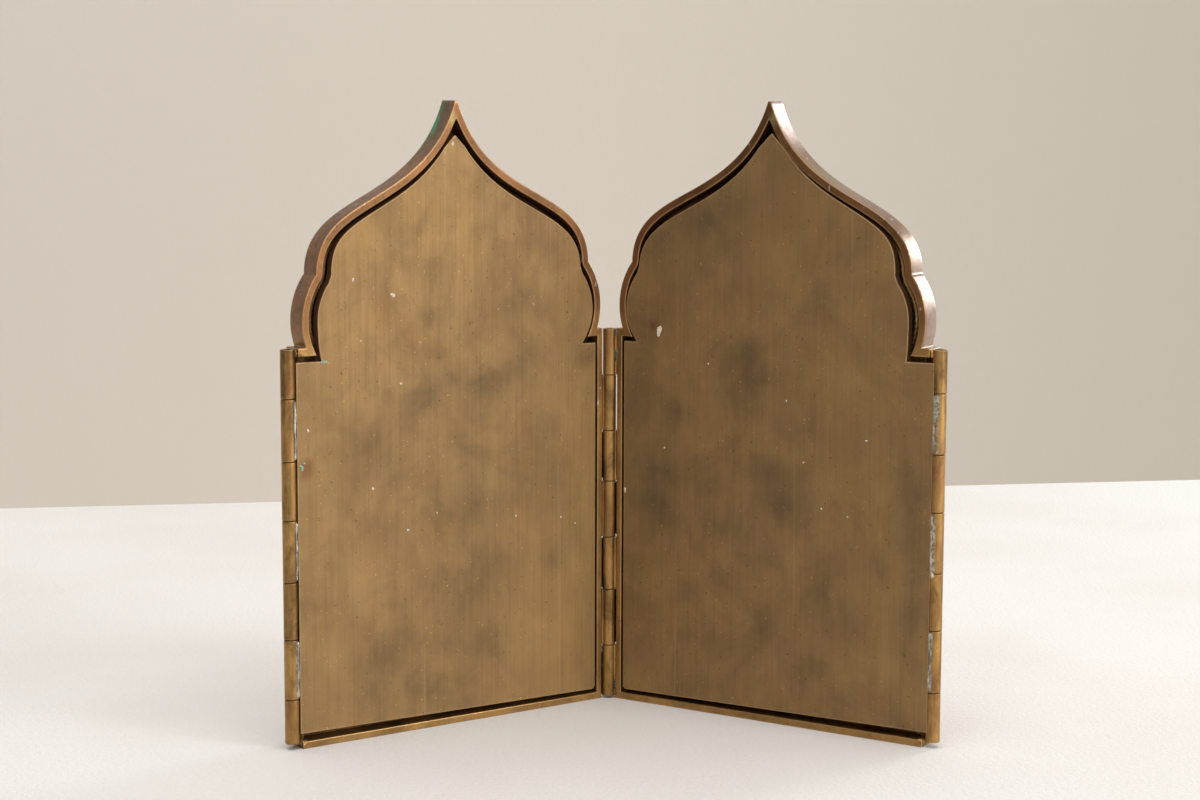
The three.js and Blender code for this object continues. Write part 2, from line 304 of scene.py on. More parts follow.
def bend_points(radius, steps=4):
    """A quarter round of that radius: how far in from the edge, and how far back, at each step."""
    turn = np.linspace(0, pi / 2, steps + 1)
    return [(radius * (1 - sin(a)), radius * (1 - cos(a))) for a in turn]


THIN_VARNISH, RIM_VARNISH = 0.06, {LEFT: 0.0, RIGHT: 0.4}
STAINS_FROM, RED_RISE, VARNISH_RISE = 104, 14, 4
TIP_STAIN_FROM, TIP_STAIN_RISE = 159, 8
LOBE_STAIN_LOW, LOBE_STAIN_HIGH = 108, 142
MOSS_PLACE, MOSS_REACH = (50.5, 170.2), (1.0, 1.8)
GREEN_DEPTH, GREEN_HEIGHT, GREEN_REACH = 4.4, 168, 5


def tray_stains(side, outside, along, depth, height):
    """Where the rim is stained, and where the right rim's outer wall has a painted highlight: soft steps and
    bells of height, as numbers that its finish reads by name.
    """
    outer_half = smooth((along - ARCH_CENTRE) * 4)
    outer_wall = outside * smooth(depth - 0.3) * (depth < TRAY_DEPTH - 0.1) * outer_half
    tip = outer_wall * smooth((height - TIP_STAIN_FROM) / TIP_STAIN_RISE)
    lobe = outer_wall * smooth((height - LOBE_STAIN_LOW) / 4) * smooth((LOBE_STAIN_HIGH - height) / 12)
    across, up = (along - MOSS_PLACE[0]) / MOSS_REACH[0], (height - MOSS_PLACE[1]) / MOSS_REACH[1]
    patch = (depth < 0.2) * np.exp(-across ** 2 - up ** 2)
    varnish = THIN_VARNISH + RIM_VARNISH[side] * outer_wall * smooth((height - STAINS_FROM) / VARNISH_RISE)
    arch = smooth((height - STAINS_FROM) / RED_RISE) * (1 - 0.65 * smooth(depth - 6.5))
    if side == LEFT:
        back_edge = outer_wall * smooth((depth - GREEN_DEPTH) / 1.2)
        back_edge = back_edge * np.exp(-((height - GREEN_HEIGHT) / GREEN_REACH) ** 2)
        return {"arch": arch, "varnish": varnish, "green": back_edge, "moss": 0.7 * patch,
                "grey": 0.45 * tip + 0.05 * lobe, "pale": 0 * height}
    # On the right rim, pale is pale tarnish and a painted highlight on the outer wall's tip and lobes
    lower = outer_wall * np.exp(-((height - 154) / 6) ** 2)
    return {"arch": arch, "varnish": varnish, "green": 0 * height, "moss": 0.9 * patch + 0.4 * lower,
            "grey": 0.2 * lobe, "pale": 0.8 * tip + 0.3 * lobe}


def make_tray(side):
    """The rim's section carried round the leaf's outline, with a grid across the back and one on the floor.

    Each line of points is the outline moved inwards by a share of the wall. The rim's front is set back
    by SEAT_DEPTH along the outer side.
    """
    back_round, rim_round, floor_round = 0.9, 0.22, 0.3
    edge_seam = 0.35
    walls = np.array([SIDE_WALL, SIDE_WALL, BOTTOM_WALL, SHOULDER_WALL, ARCH_WALL])

    # A section of the rim from the back, over the front, down to the floor: share of the wall's
    # thickness or distance from its outer face, depth, wear that also paints highlights on the edges,
    # and dirt with painted shade in the pocket
    section = [(0, back_round + 1.2, TRAY_DEPTH, 0, 0.1), (0, back_round + 0.1, TRAY_DEPTH, 0.1, 0)]
    section += [(0, inset, TRAY_DEPTH - back, 0.9, 0) for inset, back in bend_points(back_round)]
    section += [(0, 0, depth, 0.1, 0) for depth in (6.3, 5.2, 4.1, 3, 1.9, 0.9, rim_round + 0.12)]
    section += [(0, inset, depth, 1, 0) for inset, depth in reversed(bend_points(rim_round))]
    section += [(share, 0, 0, 0.12, 0) for share in (0.2, 0.5, 0.8)]
    section += [(1, -inset, depth, 1, 0) for inset, depth in bend_points(rim_round)]
    section += [(1, 0, depth, 0, grime_and_shade) for depth, grime_and_shade in ((rim_round + 0.15, 0.2), (1.2, 0.6), (3, 1))]
    section += [(1, inset, POCKET_DEPTH - back, 0, 1) for back, inset in bend_points(floor_round)]
    section += [(1, 0.45, POCKET_DEPTH, 0, 0.9)]
    points, wear_and_highlight, grime_and_shade = [], [], []
    for share, inset, depth, worn_and_highlit, dirty_and_shaded in section:
        inner, outer, bottom, shoulder, arch = walls * share + inset
        tip = max(TIP_HALF_WIDTH - inset * 0.3 - share * 0.2, 0.12)
        ends = leaf_rows(inner, TRAY_WIDTH - outer, bottom, SHOULDER_HEIGHT - shoulder, arch,
                         ARCH_CENTRE, tip, edge_seam - share * 0.2)
        line = loop_of(ends)
        rows = len(ends[0])
        front = np.zeros(len(line))
        outer_side = slice(COLUMNS, COLUMNS + rows)
        height = line[outer_side, 1]
        seat_top = SHOULDER_HEIGHT - SHOULDER_WALL
        cut = (height > BOTTOM_WALL + SEAT_STEP / 2) & (height < seat_top - SEAT_STEP / 2)
        cut &= np.arange(rows) < SIDE_ROWS + 4 + 2 * (CORNER_STEPS + 1)
        front[outer_side][cut] = SEAT_DEPTH
        deep = POCKET_DEPTH if share else TRAY_DEPTH - back_round
        back = np.where(depth < deep, front + depth * (deep - front) / deep, depth)
        wobble = 0.05 * ripple(line[:, 0], line[:, 1], 11 + side, 14)
        points.append(np.stack([line[:, 0], back + wobble * (depth < 1), line[:, 1]], -1))
        wear_and_highlight.append(np.full(len(line), worn_and_highlit))
        # Dirt with painted shade down the pocket's inner walls, less of it along the bottom wall
        grime_and_shade.append(np.where(line[:, 1] < BOTTOM_WALL + 0.1, 0.3, 1) * dirty_and_shaded)
        if len(points) == 1:
            back_ends = ends
    around = len(points[0])
    faces = [strip_faces(len(points), around)]
    first = len(points) * around
    back_number, back_fill = fill_of(back_ends, first)
    floor_number, floor_fill = fill_of(ends, first + len(back_fill))
    last = (len(points) - 1) * around
    floor_number = np.where(floor_number < around, floor_number + last, floor_number)
    points.append(np.insert(back_fill, 1, TRAY_DEPTH, 1))
    points.append(np.insert(floor_fill, 1, POCKET_DEPTH, 1))
    wear_and_highlight += [np.zeros(len(back_fill)), np.zeros(len(floor_fill))]
    grime_and_shade += [np.zeros(len(back_fill)), np.full(len(floor_fill), 0.6)]
    flat = np.concatenate(points)
    faces += [grid_faces(back_number)[:, ::-1], grid_faces(floor_number)]
    where = on_leaf(side, flat[:, 0], flat[:, 1], flat[:, 2])
    marks = {"wear_and_highlight": np.concatenate(wear_and_highlight), "grime_and_shade": np.concatenate(grime_and_shade)}
    outside = np.concatenate([np.repeat([share == 0 for share, *_ in section], around),
                              np.zeros(len(back_fill) + len(floor_fill))])
    marks.update(tray_stains(side, outside, flat[:, 0], flat[:, 1], flat[:, 2]))
    return make_piece(SIDE_NAMES[side] + "_tray_casting", where, np.concatenate(faces), marks)


def paint(red, green, blue):
    """A colour from its 0 to 255 values as light."""
    parts = [value / 255 for value in (red, green, blue)]
    return tuple(v / 12.92 if v < 0.04045 else ((v + 0.055) / 1.055) ** 2.4 for v in parts) + (1.0,)


class Finish:
    """One procedural finish: fields of noise in the piece's own coordinates and marks from its mesh."""

    def __init__(self, name):
        self.material = bpy.data.materials.new(name)
        self.material.use_nodes = True
        self.tree = self.material.node_tree
        self.shader = self.tree.nodes["Principled BSDF"]
        self.place = self.tree.nodes.new("ShaderNodeTexCoord").outputs["Object"]

    def put(self, socket, value):
        """Links a field to a socket, or sets a plain value on it."""
        if isinstance(value, bpy.types.NodeSocket):
            self.tree.links.new(value, socket)
        else:
            socket.default_value = value

    def noise(self, upright, shift, scale, detail, roughness=0.5, distortion=0.0):
        """A field of noise moved by `shift`, and drawn out upwards where `upright` is less than 1."""
        where = self.tree.nodes.new("ShaderNodeMapping")
        self.put(where.inputs["Vector"], self.place)
        where.inputs["Scale"].default_value = (1, 1, upright)
        where.inputs["Location"].default_value = (shift, shift * 0.7, shift * 1.3)
        node = self.tree.nodes.new("ShaderNodeTexNoise")
        self.put(node.inputs["Vector"], where.outputs[0])
        for name, value in (("Scale", scale), ("Detail", detail), ("Roughness", roughness),
                            ("Distortion", distortion)):
            node.inputs[name].default_value = value
        return node.outputs[0]

    def spread(self, value, low, high, to_low=0.0, to_high=1.0):
        """A soft step: `low` to `high` of a field becomes `to_low` to `to_high`."""
        node = self.tree.nodes.new("ShaderNodeMapRange")
        node.interpolation_type = "SMOOTHSTEP"
        self.put(node.inputs["Value"], value)
        for name, number in (("From Min", low), ("From Max", high), ("To Min", to_low), ("To Max", to_high)):
            node.inputs[name].default_value = number
        return node.outputs[0]

    def sum(self, kind, a, b):
        """Adds, subtracts or multiplies, kept between 0 and 1."""
        node = self.tree.nodes.new("ShaderNodeMath")
        node.operation = kind
        node.use_clamp = True
        self.put(node.inputs[0], a)
        self.put(node.inputs[1], b)
        return node.outputs[0]

    def times(self, a, b):
        return self.sum("MULTIPLY", a, b)

    def mark(self, name):
        """A number that the mesh holds for each point."""
        node = self.tree.nodes.new("ShaderNodeAttribute")
        node.attribute_name = name
        return node.outputs["Fac"]

    def mix(self, share, a, b):
        """Colour `a` turned by a share into colour `b`, through the node's sockets for colours."""
        node = self.tree.nodes.new("ShaderNodeMix")
        node.data_type = "RGBA"
        self.put(node.inputs[0], share)
        self.put(node.inputs[6], a)
        self.put(node.inputs[7], b)
        return node.outputs[2]

    def lay(self, share, coat):
        """Lays a share of one more coat of colour over those before."""
        self.color = self.mix(share, self.color, coat)

    def relief(self, height, distance, onto=None):
        """A bumpy surface after a field of heights, on top of an earlier one where `onto` is given."""
        node = self.tree.nodes.new("ShaderNodeBump")
        node.inputs["Distance"].default_value = distance
        self.put(node.inputs["Height"], height)
        if onto:
            self.put(node.inputs["Normal"], onto)
        return node.outputs[0]

    def dress(self, **values):
        """Puts fields and values on the shader's own sockets."""
        for name, value in values.items():
            self.put(self.shader.inputs[name.replace("_", " ").title()], value)
        return self.material


def tray_finish():
    """Cast brass gone brown: redder in the arch, pale worn edges that also paint highlights, dirt and painted
    shade in the pocket, file marks, stains, and a painted highlight on the right rim's outer wall.
    """
    brass = Finish("tray_brass")
    clouds = brass.noise(0.7, 3.1, 60, 5, 0.6, 0.6)
    red = brass.noise(1, 9.4, 34, 3, 0.6, 0.4)
    grain = brass.noise(1, 1.7, 520, 4, 0.65)
    file_marks = brass.noise(0.06, 5.2, 1500, 2, 0.6)
    speck = brass.noise(1, 7.7, 1100, 2, 0.5)
    fleck = brass.noise(0.5, 14.2, 640, 2, 0.5)
    brass.color = brass.mix(brass.spread(clouds, 0.32, 0.68), paint(134, 102, 58), paint(184, 144, 84))
    ruddy = brass.mix(brass.spread(clouds, 0.32, 0.68), paint(92, 56, 34), paint(130, 86, 54))
    brass.lay(brass.times(brass.mark("arch"), 0.8), ruddy)
    red = brass.times(brass.spread(red, 0.48, 0.7), brass.spread(brass.mark("arch"), 0, 1, 0.15, 0.6))
    brass.lay(red, paint(142, 88, 60))
    brass.lay(brass.spread(grain, 0.45, 0.75, 0, 0.35), paint(82, 58, 38))
    # Worn bare edges, lightened also as a painted highlight
    edge = brass.times(brass.mark("wear_and_highlight"), brass.spread(grain, 0.25, 0.6, 0.4, 1))
    brass.lay(brass.times(edge, 0.5), paint(200, 160, 116))
    # Dirt and painted shade in the pocket, and dirt in the hollows of the raised work
    dirt_and_shade = brass.times(brass.mark("grime_and_shade"), brass.spread(clouds, 0.2, 0.7, 0.9, 0.55))
    brass.lay(dirt_and_shade, paint(66, 38, 26))
    spotted = brass.spread(grain, 0.3, 0.62, 0.35, 1)
    brass.lay(brass.times(brass.mark("grey"), spotted), paint(98, 94, 80))
    # Pale tarnish, with a painted highlight on the right rim's outer tip and lobes
    brass.lay(brass.times(brass.mark("pale"), spotted), paint(222, 200, 190))
    brass.lay(brass.times(brass.mark("moss"), spotted), paint(176, 168, 112))
    green = brass.times(brass.mark("green"), brass.spread(grain, 0.45, 0.53))
    brass.lay(green, paint(74, 158, 108))
    brass.lay(brass.spread(speck, 0.68, 0.76, 0, 0.7), paint(50, 34, 24))
    brass.lay(brass.spread(fleck, 0.7, 0.76, 0, 0.7), paint(222, 212, 196))
    rough = brass.sum("ADD", brass.spread(grain, 0.3, 0.7, 0.32, 0.5), brass.times(dirt_and_shade, 0.35))
    rough = brass.sum("SUBTRACT", rough, brass.times(edge, 0.1))
    form = brass.relief(file_marks, 0.00003)
    form = brass.relief(grain, 0.00005, form)
    form = brass.relief(brass.noise(1, 0, 170, 3, 0.5), 0.00012, form)
    return brass.dress(base_color=brass.color, metallic=0.84, roughness=rough, normal=form,
                       coat_weight=brass.mark("varnish"), coat_roughness=0.26)


tray_brass = tray_finish()
for side in (LEFT, RIGHT):
    tray = make_tray(side)
    tray.data.materials.append(tray_brass)
    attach(tray, SIDE_NAMES[side] + "_leaf")
    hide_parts(SIDE_NAMES[side] + "_tray")


# Raised work on the tray floors and inside the doors
#
# The inner faces can't be seen in the photo. They are cast with low raised work: a cabled border,
# four framed fields with a rosette each, and a cross with rays in the arch, on a stippled ground.

FLOOR_RELIEF, FLOOR_TIP, FLOOR_CORNER = 0.8, 0.2, 0.1
BORDER_MARGIN, BORDER_WIDTH = 2.4, 1.6
FIELD_GAP, FIELD_HEAD_GAP, FIELD_BAND = 2.2, 3.1, 1.1
CROSS_SPAN, CROSS_ARM, CROSS_HEIGHT = 22.0, 4.4, 133.0
CABLE_PITCH, CABLE_SLANT = 2.1, 3
PETALS, PETAL_MIDDLE, PETAL_REACH = 8, 5.4, 4.2
BOSS_RADIUS, RING_RADIUS, RING_HALF_WIDTH = 1.5, 11, 0.55
RAYS, RAY_ROOT, RAY_END, HALO_RADIUS, HALO_HALF_WIDTH = 16, 5, 13, 14.2, 0.6
RELIEF_COLUMNS, LINE_COLUMNS = 170, 60
HUB_HEIGHT = 70
ROOT_DEPTH = 0.3


def bar(distance, half_width):
    """A round-topped ridge: height share for each distance from its middle line."""
    return np.sqrt(np.clip(1 - (distance / half_width) ** 2, 0, 1))


def to_line(along, height, line):
    """Distance of each point from a closed line of points, and how far round it the nearest point is."""
    walk = np.concatenate([[0], np.cumsum(np.linalg.norm(np.diff(line, axis=0), axis=1))])
    near, where = [], []
    for piece in np.array_split(np.stack([along, height], -1), 60):
        gap = ((piece[:, None] - line[None]) ** 2).sum(2)
        best = gap.argmin(1)
        near.append(np.sqrt(gap[np.arange(len(piece)), best]))
        where.append(walk[best])
    return np.concatenate(near), np.concatenate(where)


def raised_work(along, height, line, box):
    """Height share of the raised work over the ground: 1 at the top of a ridge."""
    distance, walk = to_line(along, height, line)
    middle = BORDER_MARGIN + BORDER_WIDTH / 2
    cable = 0.86 + 0.14 * np.sin(2 * pi * (walk / CABLE_PITCH + (distance - middle) / CABLE_SLANT))
    work = bar(distance - middle, BORDER_WIDTH / 2) * cable
    inner, outer, bottom, top = box
    centre, waist = (inner + outer) / 2, (bottom + top) / 2
    half_width, half_height = (outer - inner - FIELD_GAP) / 4, (top - bottom - FIELD_GAP) / 4
    for sign_x in (-1, 1):
        for sign_z in (-1, 1):
            x = np.abs(along - centre - sign_x * (half_width + FIELD_GAP / 2))
            z = np.abs(height - waist - sign_z * (half_height + FIELD_GAP / 2))
            edge = np.maximum(x - half_width, z - half_height)
            work = np.maximum(work, bar(edge + FIELD_BAND / 2, FIELD_BAND / 2))
            radius, angle = np.hypot(x, z), np.arctan2(z, x)
            petal = np.clip(1 - np.abs(radius - PETAL_MIDDLE) / PETAL_REACH, 0, 1)
            petal *= np.clip(0.25 + np.cos(PETALS * angle), 0, 1)
            rosette = np.maximum(0.55 * petal ** 0.6, 0.7 * bar(radius, BOSS_RADIUS))
            rosette = np.maximum(rosette, 0.35 * bar(radius - RING_RADIUS, RING_HALF_WIDTH))
            work = np.maximum(work, rosette)
    x, z = np.abs(along - centre), np.abs(height - CROSS_HEIGHT)
    radius, angle = np.hypot(x, z), np.arctan2(z, x)
    for run, wide in ((x, z), (z, x)):
        flare = CROSS_ARM / 2 * (0.72 + 0.28 * np.clip(run / (CROSS_SPAN / 2), 0, 1) ** 2)
        arm = np.clip((flare - wide) / 0.9, 0, 1) * np.clip((CROSS_SPAN / 2 - run) / 0.6, 0, 1)
        work = np.maximum(work, arm ** 0.5)
    ray = 0.3 * np.clip(np.cos(RAYS * angle), 0, 1)
    ray *= np.clip((radius - RAY_ROOT) / 1.5, 0, 1) * np.clip((RAY_END - radius) / 2, 0, 1)
    return np.maximum(work, np.maximum(ray, 0.35 * bar(radius - HALO_RADIUS, HALO_HALF_WIDTH)))


def make_relief(name, side, ends, line, box, ground, rise, bent=0.0):
    """A skin of raised work on its ground: the depth is `ground` plus `rise` times the height share.

    Its edge is sunk by ROOT_DEPTH. `bent` is the angle by which it sags with its plate.
    """
    edge = loop_of(ends, RELIEF_COLUMNS)
    number, inside = fill_of(ends, len(edge), RELIEF_COLUMNS)
    work = raised_work(inside[:, 0], inside[:, 1], line, box)
    stipple = 0.04 * ripple(inside[:, 0], inside[:, 1], 71 + side, 1.3, 12)
    sunk = -ROOT_DEPTH * 0.2 / abs(rise)
    lift = np.where(work > 0.02, work * (0.97 - 0.03 * stipple), sunk)
    skin = ground + rise * lift
    hub = len(edge) + len(inside)
    flat = np.concatenate([
        np.insert(edge, 1, ground - np.sign(rise) * ROOT_DEPTH, 1),
        np.insert(inside, 1, skin, 1),
        [[ARCH_CENTRE, ground - np.sign(rise) * ROOT_DEPTH, HUB_HEIGHT]],
    ])
    height = flat[:, 2] - tan(bent) * (TRAY_WIDTH - flat[:, 0])
    faces = np.concatenate([grid_faces(number), fan_faces(np.arange(len(edge)), hub)[:, ::-1]])
    grime_and_shade = np.concatenate([np.ones(len(edge)), np.clip(0.75 - work, 0, 1), [1]])
    wear_and_highlight = np.concatenate([np.zeros(len(edge)), np.clip(work * 1.4 - 0.7, 0, 1), [0]])
    return make_piece(name, on_leaf(side, flat[:, 0], flat[:, 1], height), faces,
                      {"wear_and_highlight": wear_and_highlight, "grime_and_shade": grime_and_shade})


def field_box(inner, outer, bottom, top):
    """The limits of the four framed fields, inside the border of a leaf with the given edges."""
    inset = BORDER_MARGIN + BORDER_WIDTH + FIELD_GAP
    return inner + inset, outer - inset, bottom + inset, top - FIELD_HEAD_GAP


for side in (LEFT, RIGHT):
    edges = (SIDE_WALL, TRAY_WIDTH - SIDE_WALL, BOTTOM_WALL, SHOULDER_HEIGHT - SHOULDER_WALL)
    line = loop_of(leaf_rows(*edges, ARCH_WALL, ARCH_CENTRE, FLOOR_TIP, FLOOR_CORNER, finer=2), LINE_COLUMNS)
    near = (edges[0] + 1, edges[1] - 1, edges[2] + 1, edges[3] - 1)
    ends = leaf_rows(*near, ARCH_WALL + 1, ARCH_CENTRE, FLOOR_TIP, FLOOR_CORNER, finer=3)
    relief = make_relief(SIDE_NAMES[side] + "_tray_relief", side, ends, line, field_box(*edges),
                         POCKET_DEPTH, -FLOOR_RELIEF)
    relief.data.materials.append(tray_brass)
    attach(relief, SIDE_NAMES[side] + "_leaf")


# Hinge pins and knuckles of the trays
#
# Short brass tubes were threaded on a pin and soft-soldered to the leaves by turns. Each has a foot
# that fills the space between tube and leaf. They were cut by hand, so their lengths differ.

MIDDLE_RADIUS = 1.95
MIDDLE_PIN_RADIUS, OUTER_PIN_RADIUS = 0.65, 0.8
PIN_CLEARANCE = 0.12
KNUCKLE_ROUND = 0.16
JOINT_CLOSE = 0.05
TUBE_AROUND, FOOT_REACH, FOOT_TRIALS = 72, 3.4, 700
SMEAR_FROM = 195
MIDDLE_PLACE = (-MIDDLE_STAND_OFF, -FOLD_GAP)
OUTER_PLACE = (TRAY_WIDTH + OUTER_STAND_OFF, OUTER_RADIUS)

# Kinds of tube: radius, pin's radius, place of the pin, and its foot's limits in along and in depth
MIDDLE_TUBE = (MIDDLE_RADIUS, MIDDLE_PIN_RADIUS, MIDDLE_PLACE, (-1.59, -0.1, 0.1, 2.6))
TRAY_TUBE = (OUTER_RADIUS, OUTER_PIN_RADIUS, OUTER_PLACE, (99.1, 100.125, SEAT_DEPTH, 6.8))
DOOR_TUBE = (OUTER_RADIUS, OUTER_PIN_RADIUS, OUTER_PLACE, (99.1, 100.125, 0.7, 2.65))


def tube_section(radius, place, foot, around):
    """Distance from the pin's axis to the outside of tube and foot, for each direction around it."""
    angle = np.arange(around) * 2 * pi / around
    fine = np.linspace(0, FOOT_REACH, FOOT_TRIALS)[:, None]
    along = place[0] + fine * np.cos(angle)
    depth = place[1] + fine * np.sin(angle)
    inside = (along >= foot[0]) & (along <= foot[1]) & (depth >= foot[2]) & (depth <= foot[3])
    reach = np.maximum(radius, np.where(inside, fine, 0).max(0))
    soft = (np.roll(reach, 1) + 2 * reach + np.roll(reach, -1)) / 4
    return angle, np.minimum(reach, np.maximum(soft, radius))


def make_knuckle(node, side, kind, seed, tinned_to=0):
    """A tube with its foot: lines of points around the axis, from its top over its outside to the bore.

    Solder is smeared over the front from the leaf as far as the direction `tinned_to`, in degrees.
    """
    radius, pin_radius, place, foot = kind
    low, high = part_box(node)
    bottom, top = low.z / MM - JOINT_CLOSE, high.z / MM + JOINT_CLOSE
    around = TUBE_AROUND
    angle, reach = tube_section(radius, place, foot, around)
    bore = np.full(around, pin_radius + PIN_CLEARANCE)
    edge = bend_points(KNUCKLE_ROUND, 4)
    # Each line: distance from the axis, height, wear that also paints highlights on the edges and ends, and
    # dirt
    lines = [(bore + 0.03, top, 0.5, 0.6), ((bore + reach) / 2, top, 0.5, 0.3)]
    lines += [(reach - KNUCKLE_ROUND - 0.05, top, 0.8, 0)]
    lines += [(reach - inset, top - back, 0.6, 0.2) for inset, back in edge]
    for share in np.linspace(0.03, 0.97, 14):
        height = top - KNUCKLE_ROUND - (top - bottom - 2 * KNUCKLE_ROUND) * share
        waist = 0.012 * ripple(np.cos(angle) * 2, height + 0 * angle, seed, 4)
        lines.append((reach + waist - 0.012, height, 0.35, 0.1))
    lines += [(reach - inset, bottom + back, 0.6, 0.2) for inset, back in reversed(edge)]
    lines += [(reach - KNUCKLE_ROUND - 0.05, bottom, 0.8, 0), ((bore + reach) / 2, bottom, 0.5, 0.3)]
    lines += [(bore + 0.03, bottom, 0.5, 0.6)]
    lines += [(bore, bottom + 0.03, 0.2, 1), (bore, (bottom + top) / 2, 0, 1), (bore, top - 0.03, 0.2, 1)]
    turn = np.degrees(angle)
    smear = smooth((turn - SMEAR_FROM) / 12) * smooth((tinned_to - turn) / 16)
    points, wear_and_highlight, grime_and_shade, tinned = [], [], [], []
    for line, height, worn_and_highlit, dirty_and_shaded in lines:
        points.append(on_leaf(side, place[0] + line * np.cos(angle), place[1] + line * np.sin(angle), height))
        wear_and_highlight.append(np.full(around, worn_and_highlit))
        grime_and_shade.append(np.full(around, dirty_and_shaded))
        tinned.append(smear * (bottom + 0.3 < height < top - 0.3))
    faces = strip_faces(len(lines) + 1, around) % (len(lines) * around)
    marks = {"wear_and_highlight": np.concatenate(wear_and_highlight), "grime_and_shade": np.concatenate(grime_and_shade), "tinned": np.concatenate(tinned)}
    return make_piece(node + "_tube", np.concatenate(points), faces, marks)


def hinge_finish():
    """Drawn brass tube: brighter than the leaves, drawn lines along it, brown at the joints, worn edges that
    also paint highlights.
    """
    brass = Finish("hinge_brass")
    drawn = brass.noise(0.03, 2.2, 1700, 2, 0.55)
    clouds = brass.noise(0.35, 6.1, 190, 4, 0.6, 0.5)
    grain = brass.noise(1, 4.4, 900, 4, 0.65)
    ruddy = brass.noise(0.5, 11.9, 120, 3, 0.6, 0.4)
    brass.color = brass.mix(brass.spread(clouds, 0.38, 0.62), paint(108, 80, 48), paint(190, 148, 88))
    brass.lay(brass.spread(ruddy, 0.46, 0.66, 0, 0.6), paint(132, 84, 56))
    brass.lay(brass.spread(drawn, 0.4, 0.75, 0, 0.35), paint(96, 68, 40))
    brass.lay(brass.spread(grain, 0.56, 0.72, 0, 0.45), paint(84, 58, 38))
    # Worn edges and ends, lightened also as a painted highlight
    edge = brass.times(brass.mark("wear_and_highlight"), brass.spread(grain, 0.3, 0.6, 0.3, 0.9))
    brass.lay(brass.times(edge, 0.6), paint(214, 172, 108))
    flow = brass.noise(0.3, 8.8, 520, 4, 0.65, 0.5)
    tin = brass.mix(brass.spread(grain, 0.4, 0.6), paint(206, 206, 196), paint(128, 122, 88))
    brass.lay(brass.times(brass.mark("tinned"), brass.spread(flow, 0.4, 0.56, 0.25, 1)), tin)
    dirt_and_shade = brass.times(brass.mark("grime_and_shade"), 0.9)
    brass.lay(dirt_and_shade, paint(38, 24, 15))
    rough = brass.sum("ADD", brass.spread(clouds, 0.3, 0.7, 0.26, 0.42), brass.times(dirt_and_shade, 0.3))
    form = brass.relief(drawn, 0.00003)
    form = brass.relief(grain, 0.00003, form)
    return brass.dress(base_color=brass.color, metallic=0.9, roughness=rough, normal=form)


hinge_brass = hinge_finish()


def make_pin(node, radius):
    """A plain round pin: rings around its axis and a hub at each end."""
    low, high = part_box(node)
    middle = Vector(((low.x + high.x) / 2, (low.y + high.y) / 2, 0))
    around = 40
    turn = np.arange(around) * 2 * pi / around
    edge = bend_points(0.2, 3)
    rings = [(radius - inset, low.z / MM + back) for inset, back in edge]
    rings += [(radius, height) for height in np.linspace(low.z / MM + 2, high.z / MM - 2, 40)]
    rings += [(radius - inset, high.z / MM - back) for inset, back in reversed(edge)]
    points = [np.stack([middle.x + wide * MM * np.cos(turn), middle.y + wide * MM * np.sin(turn),
                        np.full(around, height * MM)], -1) for wide, height in rings]
    points.append([[middle.x, middle.y, low.z], [middle.x, middle.y, high.z]])
    return make_piece(node + "_wire", np.concatenate(points), capped_faces(len(rings), around))


def pin_finish():
    """Drawn wire dulled to a grey brown, with lines along it and rust brown spots."""
    wire = Finish("pin_brass")
    drawn = wire.noise(0.03, 1.4, 2200, 2, 0.5)
    spots = wire.noise(1, 2.6, 700, 4, 0.6)
    wire.color = wire.mix(wire.spread(spots, 0.4, 0.65), paint(120, 108, 92), paint(96, 72, 50))
    wire.lay(wire.spread(drawn, 0.45, 0.7, 0, 0.4), paint(60, 48, 38))
    form = wire.relief(drawn, 0.00002)
    return wire.dress(base_color=wire.color, metallic=0.85, roughness=wire.spread(spots, 0.3, 0.7, 0.35, 0.6),
                      normal=form)


pin_brass = pin_finish()
for node, radius, body in (("middle_hinge_pin", MIDDLE_PIN_RADIUS, "left_leaf"),
                           ("left_hinge_pin", OUTER_PIN_RADIUS, "left_leaf"),
                           ("right_hinge_pin", OUTER_PIN_RADIUS, "right_leaf")):
    pin = make_pin(node, radius)
    pin.data.materials.append(pin_brass)
    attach(pin, body)
    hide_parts(node)


def fit_knuckle(node, body, side, kind, seed, tinned_to=0):
    """Makes a knuckle and fixes it to its leaf's body."""
    knuckle = make_knuckle(node, side, kind, seed, tinned_to)
    knuckle.data.materials.append(hinge_brass)
    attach(knuckle, body)
    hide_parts(node)


for number in range(1, 8):
    side = RIGHT if number % 2 else LEFT
    fit_knuckle(f"middle_knuckle_{number}", SIDE_NAMES[side] + "_leaf", side, MIDDLE_TUBE, 100 + number)
for side in (LEFT, RIGHT):
    for number in (1, 3, 5, 7):
        name = SIDE_NAMES[side]
        fit_knuckle(f"{name}_tray_knuckle_{number}", name + "_leaf", side, TRAY_TUBE,
                    200 + 20 * side + number)


# Doors
#
# Each door is a plate sawn from sheet, filed and brushed, a little out of true. Its plain outside
# shows when it is shut, lying in its tray with its face level with the rim.

DOOR_THICKNESS = 2.6
DOOR_SET_BACK = 0.05
DOOR_SIDE_GAP, DOOR_BOTTOM_GAP, DOOR_SHOULDER_GAP, DOOR_ARCH_GAP = 0.7, 2.3, 1.5, 1.6
DOOR_EDGE = 99.0
DOOR_LIP = {LEFT: 99.65, RIGHT: 100.5}
LIP_CLEARANCE = 0.1
DOOR_TIP = 0.12
DOOR_HEAD = {LEFT: (166.1, 1.0), RIGHT: (166.75, 1.7)}
APEX_SHIFT = {LEFT: 0.4, RIGHT: 0.8}
DOOR_SAG = radians(0.7)
DOOR_ARCH_SHIFT = {LEFT: 1.0, RIGHT: 1.4}
DOOR_CORNER, SHARP_CORNER = 1.2, 0.12
SHOULDER_LIFT = {LEFT: 0.8, RIGHT: 1.3}
LEAN_FROM, LEAN_RISE = 128, 22

# The outer foot of the arch is filled by so much, between these heights and beyond this distance along
FOOT_FILL = {LEFT: 2.6, RIGHT: 3.2}
FILL_LOW, FILL_HIGH, FILL_RUN, FILL_FROM = 98, 116, 10.2, 70
